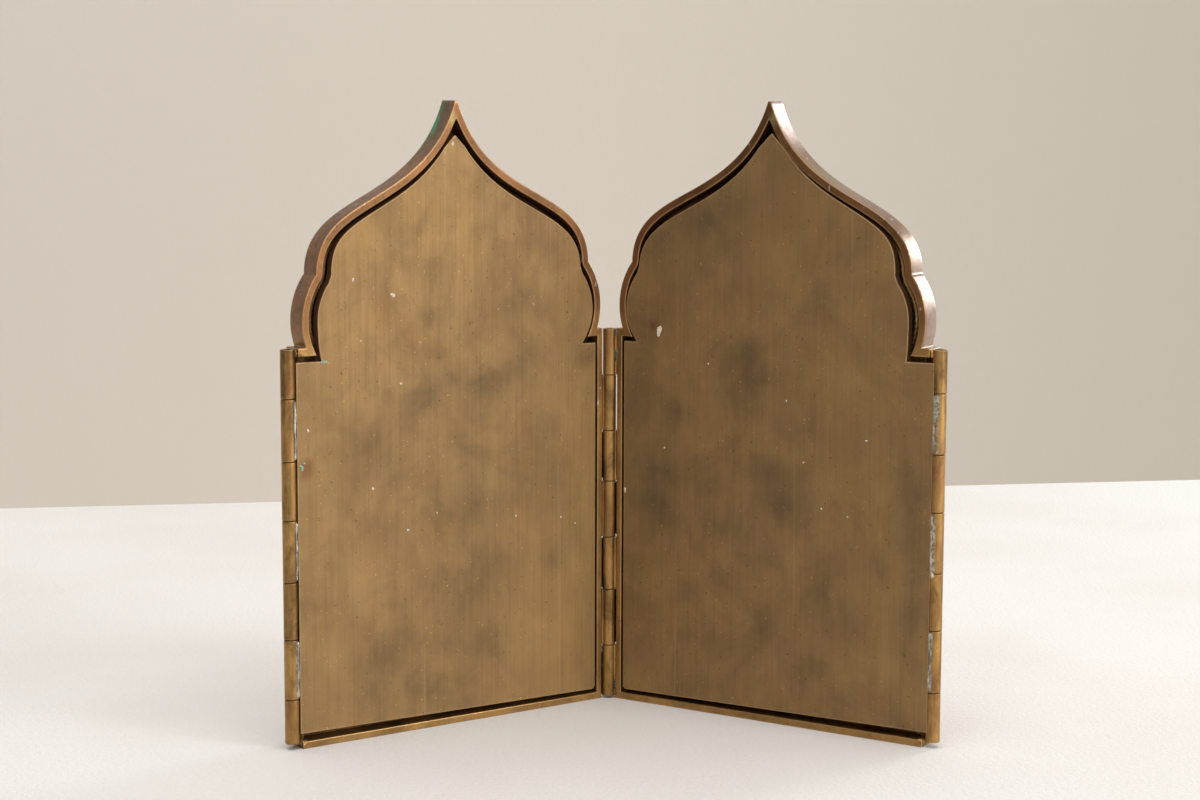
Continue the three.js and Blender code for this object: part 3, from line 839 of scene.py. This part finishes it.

# Smoky clouds, rubbed patches with some painted light, and rust on the outsides: along, height, half width,
# half height, strength
SMOKE = {
    LEFT: [
        (61, 93, 7, 4, 1.0), (41, 95, 6, 5, 0.8), (31, 99, 6, 5, 1.0), (53, 98, 7, 4, 0.6),
        (79, 83, 5, 5, 0.6), (45, 69, 5, 5, 0.7), (47, 78, 5, 5, 0.4), (21, 83, 6, 8, 0.4),
        (42, 62, 13, 5, 0.6), (44, 42, 10, 8, 0.4), (17, 43, 4, 5, 0.6), (40, 21, 6, 5, 0.5),
        (75, 22, 7, 6, 0.5), (59, 12, 10, 5, 0.5), (27, 119, 6, 4, 0.5), (55, 116, 6, 3, 0.5),
        (20, 32, 6, 5, 0.4), (71, 74, 7, 7, 0.3), (5, 102, 4, 4, 0.6),
    ],
    RIGHT: [
        (44, 104, 3.4, 4, 1.2), (47, 99, 3.4, 3.6, 1.2), (16, 68, 7, 3.5, 1.1), (32, 66, 5, 3, 0.8),
        (15, 58, 6, 5, 0.9), (20, 87, 5, 4, 0.7), (55, 62, 5, 4, 0.6), (48, 72, 5, 4, 0.5),
        (50, 48, 4, 4, 0.7), (24, 36, 3, 3, 0.7), (37, 54, 9, 5, 0.5), (28, 142, 9, 5, 0.7),
        (36, 134, 4, 4, 0.6), (13, 133, 6, 8, 0.5), (48, 28, 4, 5, 0.5), (69, 40, 5, 8, 0.4),
        (40, 20, 8, 4, 0.4), (64, 19, 6, 5, 0.3), (39, 97, 9, 8, 0.5), (60, 82, 4, 4, 0.3),
        (82, 48, 7, 7, 0.3), (73, 134, 5, 6, 0.3), (95, 68, 3, 20, 0.5), (95, 38, 3, 20, 0.5),
        (8, 101, 5, 14, 0.4), (10, 62, 8, 30, 0.35), (52, 66, 14, 12, 0.25),
    ],
}
RUBBED_AND_PAINTED_LIGHT = {
    LEFT: [
        (81, 137, 9, 7, 0.6), (91, 25, 7, 10, 0.8), (78, 47, 6, 9, 0.5), (11, 41, 3, 3, 0.7),
        (51, 146, 14, 14, 0.5), (93, 74, 5, 20, 0.5), (86, 108, 8, 14, 0.4), (15, 5, 9, 4, 0.4),
        # The last three patches on the left plate are painted light, brightening its middle side, most of all
        # low down
        (12, 26, 13, 24, 0.9), (6, 78, 8, 30, 0.6), (22, 28, 12, 22, 0.6),
    ],
    RIGHT: [
        (62, 151, 13, 7, 0.5), (87, 134, 6, 10, 0.6), (70, 73, 9, 8, 0.4), (88, 19, 8, 6, 0.5),
        (8, 6, 6, 3, 0.6), (41, 117, 5, 4, 0.4), (78, 100, 14, 10, 0.4), (50, 134, 14, 12, 0.4),
        (86, 62, 8, 20, 0.3),
    ],
}
RUST = {LEFT: [(96.8, 76.9, 1.5, 1.9, 1.3)], RIGHT: [(12.2, 111.1, 1.2, 1.4, 1.1)]}


def soft_spots(spots, along, height):
    """How strongly each point lies in the given soft-edged spots, from 0 to 1."""
    total = np.zeros(len(along))
    for middle, level, half_width, half_height, strength in spots:
        away = ((along - middle) / half_width) ** 2 + ((height - level) / half_height) ** 2
        total += strength * np.exp(-away)
    return np.clip(total, 0, 1)


def lip_reach(depth):
    """How far out the plate may reach at a depth, as its edge lies against the hinge tubes."""
    rise = OUTER_RADIUS - depth
    return OUTER_PLACE[0] - (OUTER_RADIUS ** 2 - rise ** 2) ** 0.5 - LIP_CLEARANCE


def hang(side, along, height):
    """Heights of a true plate's points once it hangs: its free side sags, but less at the shoulder."""
    corner = smooth((height - 92) / 10) * smooth((SHOULDER_HEIGHT + 10 - height) / 12)
    corner *= smooth((20 - along) / 12)
    return height - tan(DOOR_SAG) * (DOOR_EDGE - along) + SHOULDER_LIFT[side] * corner


def make_door(side):
    """The edge's section carried round the plate's outline, with a grid on the front and one on the back.

    The points are then moved along by a lean that grows with height, and hung.
    """
    edge_round = 0.16
    # Each step: inset, depth, wear that also paints a highlight on the bevels, and dirt on the edge
    section = [(edge_round + 0.2, DOOR_SET_BACK, 0, 0)]
    section += [(inset, DOOR_SET_BACK + back, 0.7, 0) for inset, back in bend_points(edge_round)]
    section += [(0, DOOR_SET_BACK + back, 0.1, 0.7) for back in (0.3, 0.6, 1, 1.6)]
    back_face = DOOR_SET_BACK + DOOR_THICKNESS
    section += [(inset, back_face - back, 0.8, 0.3) for inset, back in reversed(bend_points(edge_round))]
    section += [(edge_round + 0.2, back_face, 0, 0.2)]
    point, swell = DOOR_HEAD[side]
    points, wear_and_highlight, grime_and_shade = [], [], []
    for inset, depth, worn_and_highlit, dirty_and_shaded in section:
        ends = leaf_rows(
            SIDE_WALL + DOOR_SIDE_GAP + inset,
            min(DOOR_LIP[side], lip_reach(depth)) - inset,
            BOTTOM_WALL + DOOR_BOTTOM_GAP + inset,
            SHOULDER_HEIGHT - SHOULDER_WALL - DOOR_SHOULDER_GAP - inset,
            ARCH_WALL + DOOR_ARCH_GAP + inset,
            ARCH_CENTRE - DOOR_ARCH_SHIFT[side],
            DOOR_TIP, DOOR_CORNER - inset, SHARP_CORNER, head=(point - 1.4 * inset, swell))
        line = loop_of(ends)
        points.append(np.stack([line[:, 0], np.full(len(line), depth), line[:, 1]], -1))
        wear_and_highlight.append(np.full(len(line), worn_and_highlit))
        grime_and_shade.append(np.full(len(line), dirty_and_shaded))
        if len(points) == 1:
            front_ends = ends
    around = len(points[0])
    faces = [strip_faces(len(points), around)]
    first = len(points) * around
    front_number, front_fill = fill_of(front_ends, first)
    back_number, back_fill = fill_of(ends, first + len(front_fill))
    back_number = np.where(back_number < around, back_number + (len(points) - 1) * around, back_number)
    faces += [grid_faces(front_number)[:, ::-1], grid_faces(back_number)]
    filed = 0.035 * (1 + ripple(front_fill[:, 0], front_fill[:, 1] * 0.7, 31 + side, 16))
    points.append(np.stack([front_fill[:, 0], DOOR_SET_BACK + filed, front_fill[:, 1]], -1))
    points.append(np.insert(back_fill, 1, back_face, 1))
    wear_and_highlight += [np.zeros(len(front_fill)), np.zeros(len(back_fill))]
    grime_and_shade += [np.zeros(len(front_fill)), np.full(len(back_fill), 0.2)]
    flat = np.concatenate(points)
    height = hang(side, flat[:, 0], flat[:, 2])
    lean = (DOOR_ARCH_SHIFT[side] + APEX_SHIFT[side]) * smooth((flat[:, 2] - LEAN_FROM) / LEAN_RISE)
    near_foot = smooth((flat[:, 0] - FILL_FROM) / 15) * smooth((DOOR_EDGE - flat[:, 0]) / 6)
    near_foot *= np.clip((FILL_HIGH - flat[:, 2]) / FILL_RUN, 0, 1) ** 2 * smooth((flat[:, 2] - FILL_LOW) / 7)
    lean += FOOT_FILL[side] * near_foot
    where = on_leaf(side, flat[:, 0] + lean, flat[:, 1], height)
    front = flat[:, 1] < 0.3
    marks = {"wear_and_highlight": np.concatenate(wear_and_highlight), "grime_and_shade": np.concatenate(grime_and_shade)}
    for mark, spots, share in (("smoke", SMOKE, 0.6), ("rubbed_and_painted_light", RUBBED_AND_PAINTED_LIGHT, 0.5), ("rust", RUST, 0.8)):
        marks[mark] = share * front * soft_spots(spots[side], flat[:, 0], height)
    return make_piece(SIDE_NAMES[side] + "_door_plate", where, np.concatenate(faces), marks)


def door_finish():
    """Brushed sheet gone olive brown: upright brush lines, smoky clouds, bare gold where hands rub, painted
    light in some of those patches, and worn edges that also paint highlights.
    """
    brass = Finish("door_brass")
    clouds = brass.noise(0.8, 2.9, 55, 5, 0.62, 0.9)
    haze = brass.noise(0.8, 8.3, 130, 4, 0.6, 0.5)
    brush = brass.noise(0.022, 4.1, 1300, 3, 0.6)
    broad = brass.noise(0.05, 6.6, 330, 3, 0.55)
    grain = brass.noise(0.6, 1.2, 900, 4, 0.7)
    speck = brass.noise(1, 3.3, 1000, 2, 0.5)
    gold = brass.noise(1, 5.9, 1250, 2, 0.5)
    orange = brass.noise(0.6, 12.3, 75, 3, 0.55)
    scratch = brass.noise(0.012, 15.7, 620, 1, 0.5)
    brass.color = brass.mix(brass.spread(clouds, 0.3, 0.7), paint(140, 111, 73), paint(160, 128, 83))
    brass.lay(brass.spread(haze, 0.42, 0.72, 0, 0.25), paint(120, 98, 67))
    brass.lay(brass.spread(orange, 0.58, 0.78, 0, 0.3), paint(172, 122, 72))
    # Rubbed bare patches, some of them painted light
    brass.lay(brass.mark("rubbed_and_painted_light"), paint(184, 148, 92))
    smoke = brass.times(brass.mark("smoke"), brass.spread(haze, 0.25, 0.65, 0.6, 1))
    brass.lay(smoke, paint(86, 73, 54))
    brass.lay(brass.spread(brush, 0.42, 0.72, 0, 0.13), paint(92, 70, 44))
    brass.lay(brass.spread(broad, 0.5, 0.75, 0, 0.1), paint(186, 148, 96))
    brass.lay(brass.spread(gold, 0.69, 0.75, 0, 0.5), paint(226, 178, 104))
    brass.lay(brass.spread(speck, 0.69, 0.75, 0, 0.6), paint(66, 48, 32))
    brass.lay(brass.spread(scratch, 0.73, 0.77, 0, 0.14), paint(196, 172, 132))
    # Worn edges, lightened also as a painted highlight
    edge = brass.times(brass.mark("wear_and_highlight"), brass.spread(grain, 0.3, 0.6, 0.3, 0.8))
    brass.lay(edge, paint(206, 170, 128))
    dirt_and_shade = brass.times(brass.mark("grime_and_shade"), 0.9)
    brass.lay(dirt_and_shade, paint(112, 60, 40))
    brass.lay(brass.mark("rust"), paint(112, 58, 40))
    rough = brass.sum("ADD", brass.spread(haze, 0.3, 0.7, 0.52, 0.6), brass.spread(brush, 0.3, 0.7, 0, 0.05))
    rough = brass.sum("ADD", rough, brass.times(smoke, 0.1))
    form = brass.relief(brush, 0.00002)
    form = brass.relief(broad, 0.00002, form)
    form = brass.relief(grain, 0.00002, form)
    form = brass.relief(brass.noise(1, 0, 110, 3, 0.5), 0.0001, form)
    return brass.dress(base_color=brass.color, metallic=0.62, roughness=rough, normal=form)


door_brass = door_finish()
SMEARED_TO = {LEFT: {2: 262, 4: 258, 6: 266}, RIGHT: {2: 304, 4: 292, 6: 286}}
for side in (LEFT, RIGHT):
    name = SIDE_NAMES[side]
    door = make_door(side)
    door.data.materials.append(door_brass)
    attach(door, name + "_wing")
    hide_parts(name + "_door")
    for number in (2, 4, 6):
        fit_knuckle(f"{name}_door_knuckle_{number}", name + "_wing", side, DOOR_TUBE,
                    300 + 20 * side + number, SMEARED_TO[side][number])


DOOR_RELIEF, DOOR_RELIEF_TIP, DOOR_BORDER_GAP = 0.7, 0.9, 0.5
INNER_FACE_EDGE = TRAY_WIDTH - SIDE_WALL - DOOR_BORDER_GAP
for side in (LEFT, RIGHT):
    edges = (SIDE_WALL + DOOR_SIDE_GAP, INNER_FACE_EDGE, BOTTOM_WALL + DOOR_BOTTOM_GAP,
             SHOULDER_HEIGHT - SHOULDER_WALL - DOOR_SHOULDER_GAP)
    arch, centre = ARCH_WALL + DOOR_ARCH_GAP, ARCH_CENTRE - DOOR_ARCH_SHIFT[side]
    line = loop_of(leaf_rows(*edges, arch, centre, DOOR_RELIEF_TIP, FLOOR_CORNER, finer=2), LINE_COLUMNS)
    near = (edges[0] + 1, edges[1] - 1, edges[2] + 1, edges[3] - 1)
    ends = leaf_rows(*near, arch + 1, centre, DOOR_RELIEF_TIP, FLOOR_CORNER, finer=3)
    relief = make_relief(SIDE_NAMES[side] + "_door_relief", side, ends, line, field_box(*edges),
                         DOOR_SET_BACK + DOOR_THICKNESS, DOOR_RELIEF, DOOR_SAG)
    relief.data.materials.append(tray_brass)
    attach(relief, SIDE_NAMES[side] + "_wing")


# Solder
#
# Soft solder was run into the seams between knuckles and leaves and left unfiled. It shows as lumpy
# silver grey lines beside the door knuckles, along the backs of the tray knuckles and at the middle.

def bead(side, along, depth, low, high, half_width, half_depth, seed, steps=40, around=16):
    """A lumpy run of solder upright on a leaf: ellipses from low to high, closed by a hub at each end."""
    share = np.linspace(0, 1, steps)
    height = low + (high - low) * share
    turn = np.arange(around) * 2 * pi / around
    taper = np.clip(np.minimum(share, 1 - share) * (high - low) / (1.2 * half_width), 0, 1) ** 0.5
    taper = 0.12 + 0.88 * taper
    swell = 1 + 0.28 * ripple(height, 0 * height, seed, 2.2)
    shift = 0.18 * half_width * ripple(height, 0 * height + 3, seed + 1, 3.5)
    wide = half_width * taper * swell
    deep = half_depth * taper * (1 + 0.2 * ripple(height, 0 * height + 9, seed + 2, 1.8))
    flat = np.stack([
        along + shift[:, None] + wide[:, None] * np.cos(turn),
        depth + deep[:, None] * np.sin(turn),
        height[:, None] + 0 * turn,
    ], -1).reshape(-1, 3)
    ends = [[along + shift[0], depth, low - 0.05], [along + shift[-1], depth, high + 0.05]]
    return on_leaf(side, *np.concatenate([flat, ends]).T), capped_faces(steps, around)


def fix_runs(name, parts, finish, body):
    """Joins closed runs or crumbs into one piece that stays on a body."""
    first = np.cumsum([0] + [len(points) for points, faces in parts])
    points = np.concatenate([points for points, faces in parts])
    faces = np.concatenate([faces + start for (_, faces), start in zip(parts, first)])
    piece = make_piece(name, points, faces)
    piece.data.materials.append(finish)
    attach(piece, body)


def solder_finish():
    """Dull tin grey with pale bright stretches, brown dirt and a touch of green."""
    tin = Finish("solder")
    clouds = tin.noise(0.5, 2.4, 260, 4, 0.65, 0.6)
    grain = tin.noise(1, 6.2, 1300, 4, 0.65)
    green = tin.noise(1, 9.9, 210, 3, 0.55)
    tin.color = tin.mix(tin.spread(clouds, 0.38, 0.62), paint(126, 118, 104), paint(214, 210, 200))
    tin.lay(tin.spread(green, 0.56, 0.7, 0, 0.5), paint(122, 126, 92))
    tin.lay(tin.spread(grain, 0.55, 0.68, 0, 0.7), paint(78, 62, 46))
    form = tin.relief(grain, 0.00008)
    form = tin.relief(clouds, 0.00015, form)
    rough = tin.spread(grain, 0.3, 0.7, 0.3, 0.5)
    return tin.dress(base_color=tin.color, metallic=0.75, roughness=rough, normal=form)


def span(node):
    """The lower and upper end of a solid, in millimetres."""
    low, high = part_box(node)
    return low.z / MM, high.z / MM


solder = solder_finish()

# Seams: along, depth, half width, half depth
DOOR_SEAM = {LEFT: (100.0, 0.52, 0.42, 0.42), RIGHT: (100.6, 0.3, 0.42, 0.3)}
DOOR_BACK_SEAM = (99.75, 2.75, 0.5, 0.35)
TRAY_SEAM = (99.45, 6.7, 0.5, 0.4)
MIDDLE_SEAM = (-0.75, 2.55, 0.55, 0.4)
SHOULDER_FILLET = (99.25, 1.0, 0.75, 0.85)


def run_along(side, seam, low, high, seed, steps=40):
    """A bead in one of those seams."""
    along, depth, half_width, half_depth = seam
    return bead(side, along, depth, low, high, half_width, half_depth, seed, steps)


for side in (LEFT, RIGHT):
    name = SIDE_NAMES[side]
    runs = []
    for number in (2, 4, 6):
        low, high = span(f"{name}_door_knuckle_{number}")
        seed = 500 + 30 * side + number
        runs.append(run_along(side, DOOR_SEAM[side], low + 0.3, high - 0.3, seed, 56))
        runs.append(run_along(side, DOOR_BACK_SEAM, low + 0.6, high - 0.6, seed + 40))
    fix_runs(name + "_door_solder", runs, solder, name + "_wing")
    runs = []
    for number in (1, 3, 5, 7):
        low, high = span(f"{name}_tray_knuckle_{number}")
        runs.append(run_along(side, TRAY_SEAM, low + 0.5, high - 0.5, 600 + 30 * side + number))
    for number in (1, 3, 5, 7) if side == RIGHT else (2, 4, 6):
        low, high = span(f"middle_knuckle_{number}")
        runs.append(run_along(side, MIDDLE_SEAM, low + 0.5, high - 0.5, 700 + number))
    shoulder = run_along(side, SHOULDER_FILLET, SHOULDER_HEIGHT - SHOULDER_WALL - 0.3,
                         SHOULDER_HEIGHT - 0.2, 760, 20)
    fix_runs(name + "_shoulder_fillet", [shoulder], hinge_brass, name + "_leaf")
    fix_runs(name + "_tray_solder", runs, solder, name + "_leaf")


# Dried wax and corrosion crumbs
#
# Small pale specks stick to the plates, with a green crust beside the left hinge and a chip of
# something white at the right plate's shoulder.

# Along, height, half width, half height
PALE_SPECKS = {
    LEFT: [
        (69.7, 122.5, 0.75, 0.6), (82.1, 127.2, 0.4, 0.5), (67.4, 98, 0.4, 0.35),
        (76.5, 69.7, 0.35, 0.45), (65.5, 57.1, 0.35, 0.35), (96.3, 87.3, 0.35, 0.5),
        (56.1, 61, 0.25, 0.25), (29.9, 57.5, 0.25, 0.3), (79.8, 110.5, 0.25, 0.25),
        (14.4, 55.6, 0.25, 0.25), (9.5, 53.3, 0.25, 0.25), (50.4, 163.2, 0.4, 0.7),
    ],
    RIGHT: [
        (14.2, 109.5, 0.8, 1.6), (2.9, 62.4, 0.4, 0.7), (80.6, 83.2, 0.3, 0.35),
        (61.3, 75.5, 0.25, 0.3), (75.2, 61.6, 0.25, 0.25), (16.2, 75.9, 0.3, 0.25),
        (55.7, 92.4, 0.25, 0.3), (30.5, 101.1, 0.25, 0.25), (67.1, 63.1, 0.25, 0.25),
        (101, 48.2, 0.6, 0.8),
    ],
}
GREEN_SPECKS = {LEFT: [(98.3, 77.4, 0.7, 0.8), (91.2, 105.5, 1.4, 0.35), (97.6, 78.6, 0.4, 0.4)], RIGHT: []}


def crumb(side, along, height, half_width, half_height, seed):
    """A low lumpy dome on the plate's face: rings from its sunk edge to its top, and a hub below."""
    chance = np.random.default_rng(seed)
    around = 14
    turn = np.arange(around) * 2 * pi / around
    ragged = 1 + 0.22 * np.sin(2 * turn + chance.uniform(0, 6))
    ragged += 0.14 * np.sin(3 * turn + chance.uniform(0, 6))
    thick = 0.22 * min(half_width, half_height) ** 0.5
    rings = []
    for reach, rise in ((1, -0.1), (0.95, 0.35), (0.75, 0.8), (0.4, 1)):
        rings.append(np.stack([
            along + half_width * reach * ragged * np.cos(turn),
            np.full(around, DOOR_SET_BACK + 0.05 - thick * rise),
            height + half_height * reach * ragged * np.sin(turn),
        ], -1))
    hubs = [[along, DOOR_SET_BACK + 0.15, height], [along, DOOR_SET_BACK + 0.05 - thick * 1.05, height]]
    return on_leaf(side, *np.concatenate(rings + [hubs]).T), capped_faces(len(rings), around)


def crumb_finish(name, dark, light):
    """A dull crust with darker grains."""
    crust = Finish(name)
    grain = crust.noise(1, 0, 2600, 3, 0.6)
    return crust.dress(base_color=crust.mix(crust.spread(grain, 0.4, 0.6), dark, light), roughness=0.75,
                       normal=crust.relief(grain, 0.00005))


pale_crust = crumb_finish("pale_crust", paint(196, 180, 156), paint(240, 232, 218))
green_crust = crumb_finish("green_crust", paint(78, 122, 100), paint(176, 198, 172))
for side in (LEFT, RIGHT):
    for kind, specks, finish in (("pale", PALE_SPECKS, pale_crust), ("green", GREEN_SPECKS, green_crust)):
        if specks[side]:
            crumbs = [crumb(side, *speck, 900 + index) for index, speck in enumerate(specks[side])]
            fix_runs(f"{SIDE_NAMES[side]}_{kind}_crust", crumbs, finish, SIDE_NAMES[side] + "_wing")

# Painted shade: dark brown runs fill the gap behind the lower middle knuckles, on the leaf that each one
# isn't soldered to
GAP_SHADE_SEAM = (-0.7, 1.84, 1.0, 0.3)
painted_gap_shade = crumb_finish("painted_gap_shade", paint(40, 24, 16), paint(74, 46, 30))
for side in (LEFT, RIGHT):
    runs = []
    for number in (3, 5, 7) if side == LEFT else (4, 6):
        low, high = span(f"middle_knuckle_{number}")
        runs.append(run_along(side, GAP_SHADE_SEAM, low - 0.3, high + 0.1, 800 + number))
    fix_runs(SIDE_NAMES[side] + "_painted_gap_shade", runs, painted_gap_shade, SIDE_NAMES[side] + "_leaf")

# Dull drops of old solder on the right leaf, beside the highest and the lowest middle knuckle
drops = [
    bead(RIGHT, -0.28, 0.12, 107.2, 109.2, 0.42, 0.4, 741, 20),
    bead(RIGHT, -0.12, 0.14, 99.9, 103.2, 0.5, 0.42, 742, 24),
    bead(RIGHT, -0.2, 0.12, 2.4, 5.6, 0.36, 0.36, 743, 20),
]
dull_crust = crumb_finish("dull_drops", paint(58, 58, 46), paint(112, 114, 92))
fix_runs("dull_drops", drops, dull_crust, "right_leaf")


# Table, backdrop and lights
#
# A pale cloth-covered table with a plain wall behind it, with painted shade darkening the wall to the
# right. Low lamps stand to the right, in front with a panel that is only mirrored, and behind. A large
# lamp overhead and the white room fill in the rest.
# The stage is measured in metres.

SHADED_FROM_TO = (-0.1, 0.36)
FAR_LEFT, FAR_RIGHT = (-2.5, 0.035), (2.5, 0.727)
NEAR_EDGE, WALL_TOP = -1.1, 1.6
CARD_BACK, CARD_FRONT, CARD_TOP = (-1.25, 0.25), (-0.65, -1.0), 0.9
LAMP_AIM_HEIGHT = 0.08


def stage_finish(name, color, spot_color, scale, depth, painted_shade_color=None):
    """A plain matt surface. With its last colour given, painted shade darkens it towards the right, and it is
    clear from behind.
    """
    cloth = Finish(name)
    cloud = cloth.noise(1, 0, scale, 3, 0.5)
    weave = cloth.noise(1, 0, scale * 70, 3, 0.6)
    shade = cloth.mix(cloth.spread(cloud, 0.35, 0.7), color, spot_color)
    if painted_shade_color:
        # Painted shade towards the right
        across = cloth.tree.nodes.new("ShaderNodeSeparateXYZ")
        cloth.put(across.inputs[0], cloth.place)
        shade = cloth.mix(cloth.spread(across.outputs["X"], *SHADED_FROM_TO), shade, painted_shade_color)
        facing = cloth.tree.nodes.new("ShaderNodeNewGeometry")
        cloth.dress(alpha=cloth.sum("SUBTRACT", 1.0, facing.outputs["Backfacing"]))
    form = cloth.relief(weave, depth)
    return cloth.dress(base_color=shade, roughness=0.9, normal=form)


def stage_sheet(name, corners, finish):
    """One flat four-sided sheet of the stage."""
    mesh = bpy.data.meshes.new(name)
    mesh.from_pydata(corners, [], [(0, 1, 2, 3)])
    sheet = bpy.data.objects.new(name, mesh)
    scene.collection.objects.link(sheet)
    mesh.materials.append(finish)
    return sheet


cloth = stage_finish("cloth", paint(230, 228, 225), paint(225, 222, 217), 9, 0.00025)
near_corners = [(FAR_LEFT[0], NEAR_EDGE, 0), (FAR_RIGHT[0], NEAR_EDGE, 0)]
stage_sheet("table", near_corners + [(*FAR_RIGHT, 0), (*FAR_LEFT, 0)], cloth)
# The wall's last colour is painted shade, darkening it towards the right
plaster = stage_finish("plaster", paint(218, 210, 200), paint(216, 208, 197), 3, 0.0001, paint(184, 177, 165))
wall = stage_sheet("wall", [(*FAR_LEFT, 0), (*FAR_RIGHT, 0), (*FAR_RIGHT, WALL_TOP), (*FAR_LEFT, WALL_TOP)],
                   plaster)
wall.visible_shadow = False
wall.visible_glossy = False

# A dark card stands at the left, out of sight. It darkens what the right plate mirrors.
black_card = stage_finish("black_card", paint(40, 36, 32), paint(36, 32, 30), 3, 0.0001)
card_corners = [(*CARD_BACK, 0), (*CARD_FRONT, 0), (*CARD_FRONT, CARD_TOP), (*CARD_BACK, CARD_TOP)]
card = stage_sheet("dark_card", card_corners, black_card)
card.visible_camera = False


def lamp(name, heading, distance, size, power, color):
    """A soft square lamp at a distance from the icon, in the given direction, turned to face it."""
    light = bpy.data.lights.new(name, "AREA")
    light.size = size
    light.energy = power
    light.color = color
    away = Vector(heading).normalized()
    stand = bpy.data.objects.new(name, light)
    place = away * distance + Vector((0, 0, LAMP_AIM_HEIGHT))
    stand.matrix_world = Matrix.Translation(place) @ away.to_track_quat("Z", "Y").to_matrix().to_4x4()
    scene.collection.objects.link(stand)
    return stand


lamp("front_lamp", (0.86, -0.50, 0.30), 1.6, 0.5, 6.5, (1.0, 0.97, 0.94))
panel = lamp("side_panel", (0.89, -0.47, 0.08), 1.5, 1.5, 7, (1.0, 0.985, 0.97))
panel.visible_diffuse = False
lamp("back_lamp", (0.77, 0.64, 0.25), 1.6, 0.45, 9, (0.88, 0.95, 1.0))
lamp("ceiling_lamp", (0.0, -0.2, 1.0), 1.8, 2.0, 20, (1.0, 0.99, 0.98))

world = bpy.data.worlds.new("room")
world.use_nodes = True
world.node_tree.nodes["Background"].inputs["Color"].default_value = (1.0, 0.985, 0.975, 1)
world.node_tree.nodes["Background"].inputs["Strength"].default_value = 0.69
scene.world = world
scene.view_settings.view_transform = "Standard"


# Camera
#
# The photographer stood a little left of the middle hinge and looked slightly down on the icon,
# from about seven tenths of a metre, through a long lens.

YAW, PITCH, ROLL = 0.0205, -0.1311, 0.0028
FILM_WIDTH, FOCAL_LENGTH = 36, 74.2
CAMERA_PLACE = (-0.01735, -0.68591, 0.18235)
ahead = Vector((sin(YAW) * cos(PITCH), cos(YAW) * cos(PITCH), sin(PITCH)))
level = Vector((cos(YAW), -sin(YAW), 0))
upright = level.cross(ahead)
across = level * cos(ROLL) + upright * sin(ROLL)
up = upright * cos(ROLL) - level * sin(ROLL)
lens = bpy.data.cameras.new("camera")
lens.sensor_width = FILM_WIDTH
lens.lens = FOCAL_LENGTH
camera = bpy.data.objects.new("camera", lens)
camera.matrix_world = Matrix((across, up, -ahead)).transposed().to_4x4()
camera.location = CAMERA_PLACE
scene.collection.objects.link(camera)
scene.camera = camera
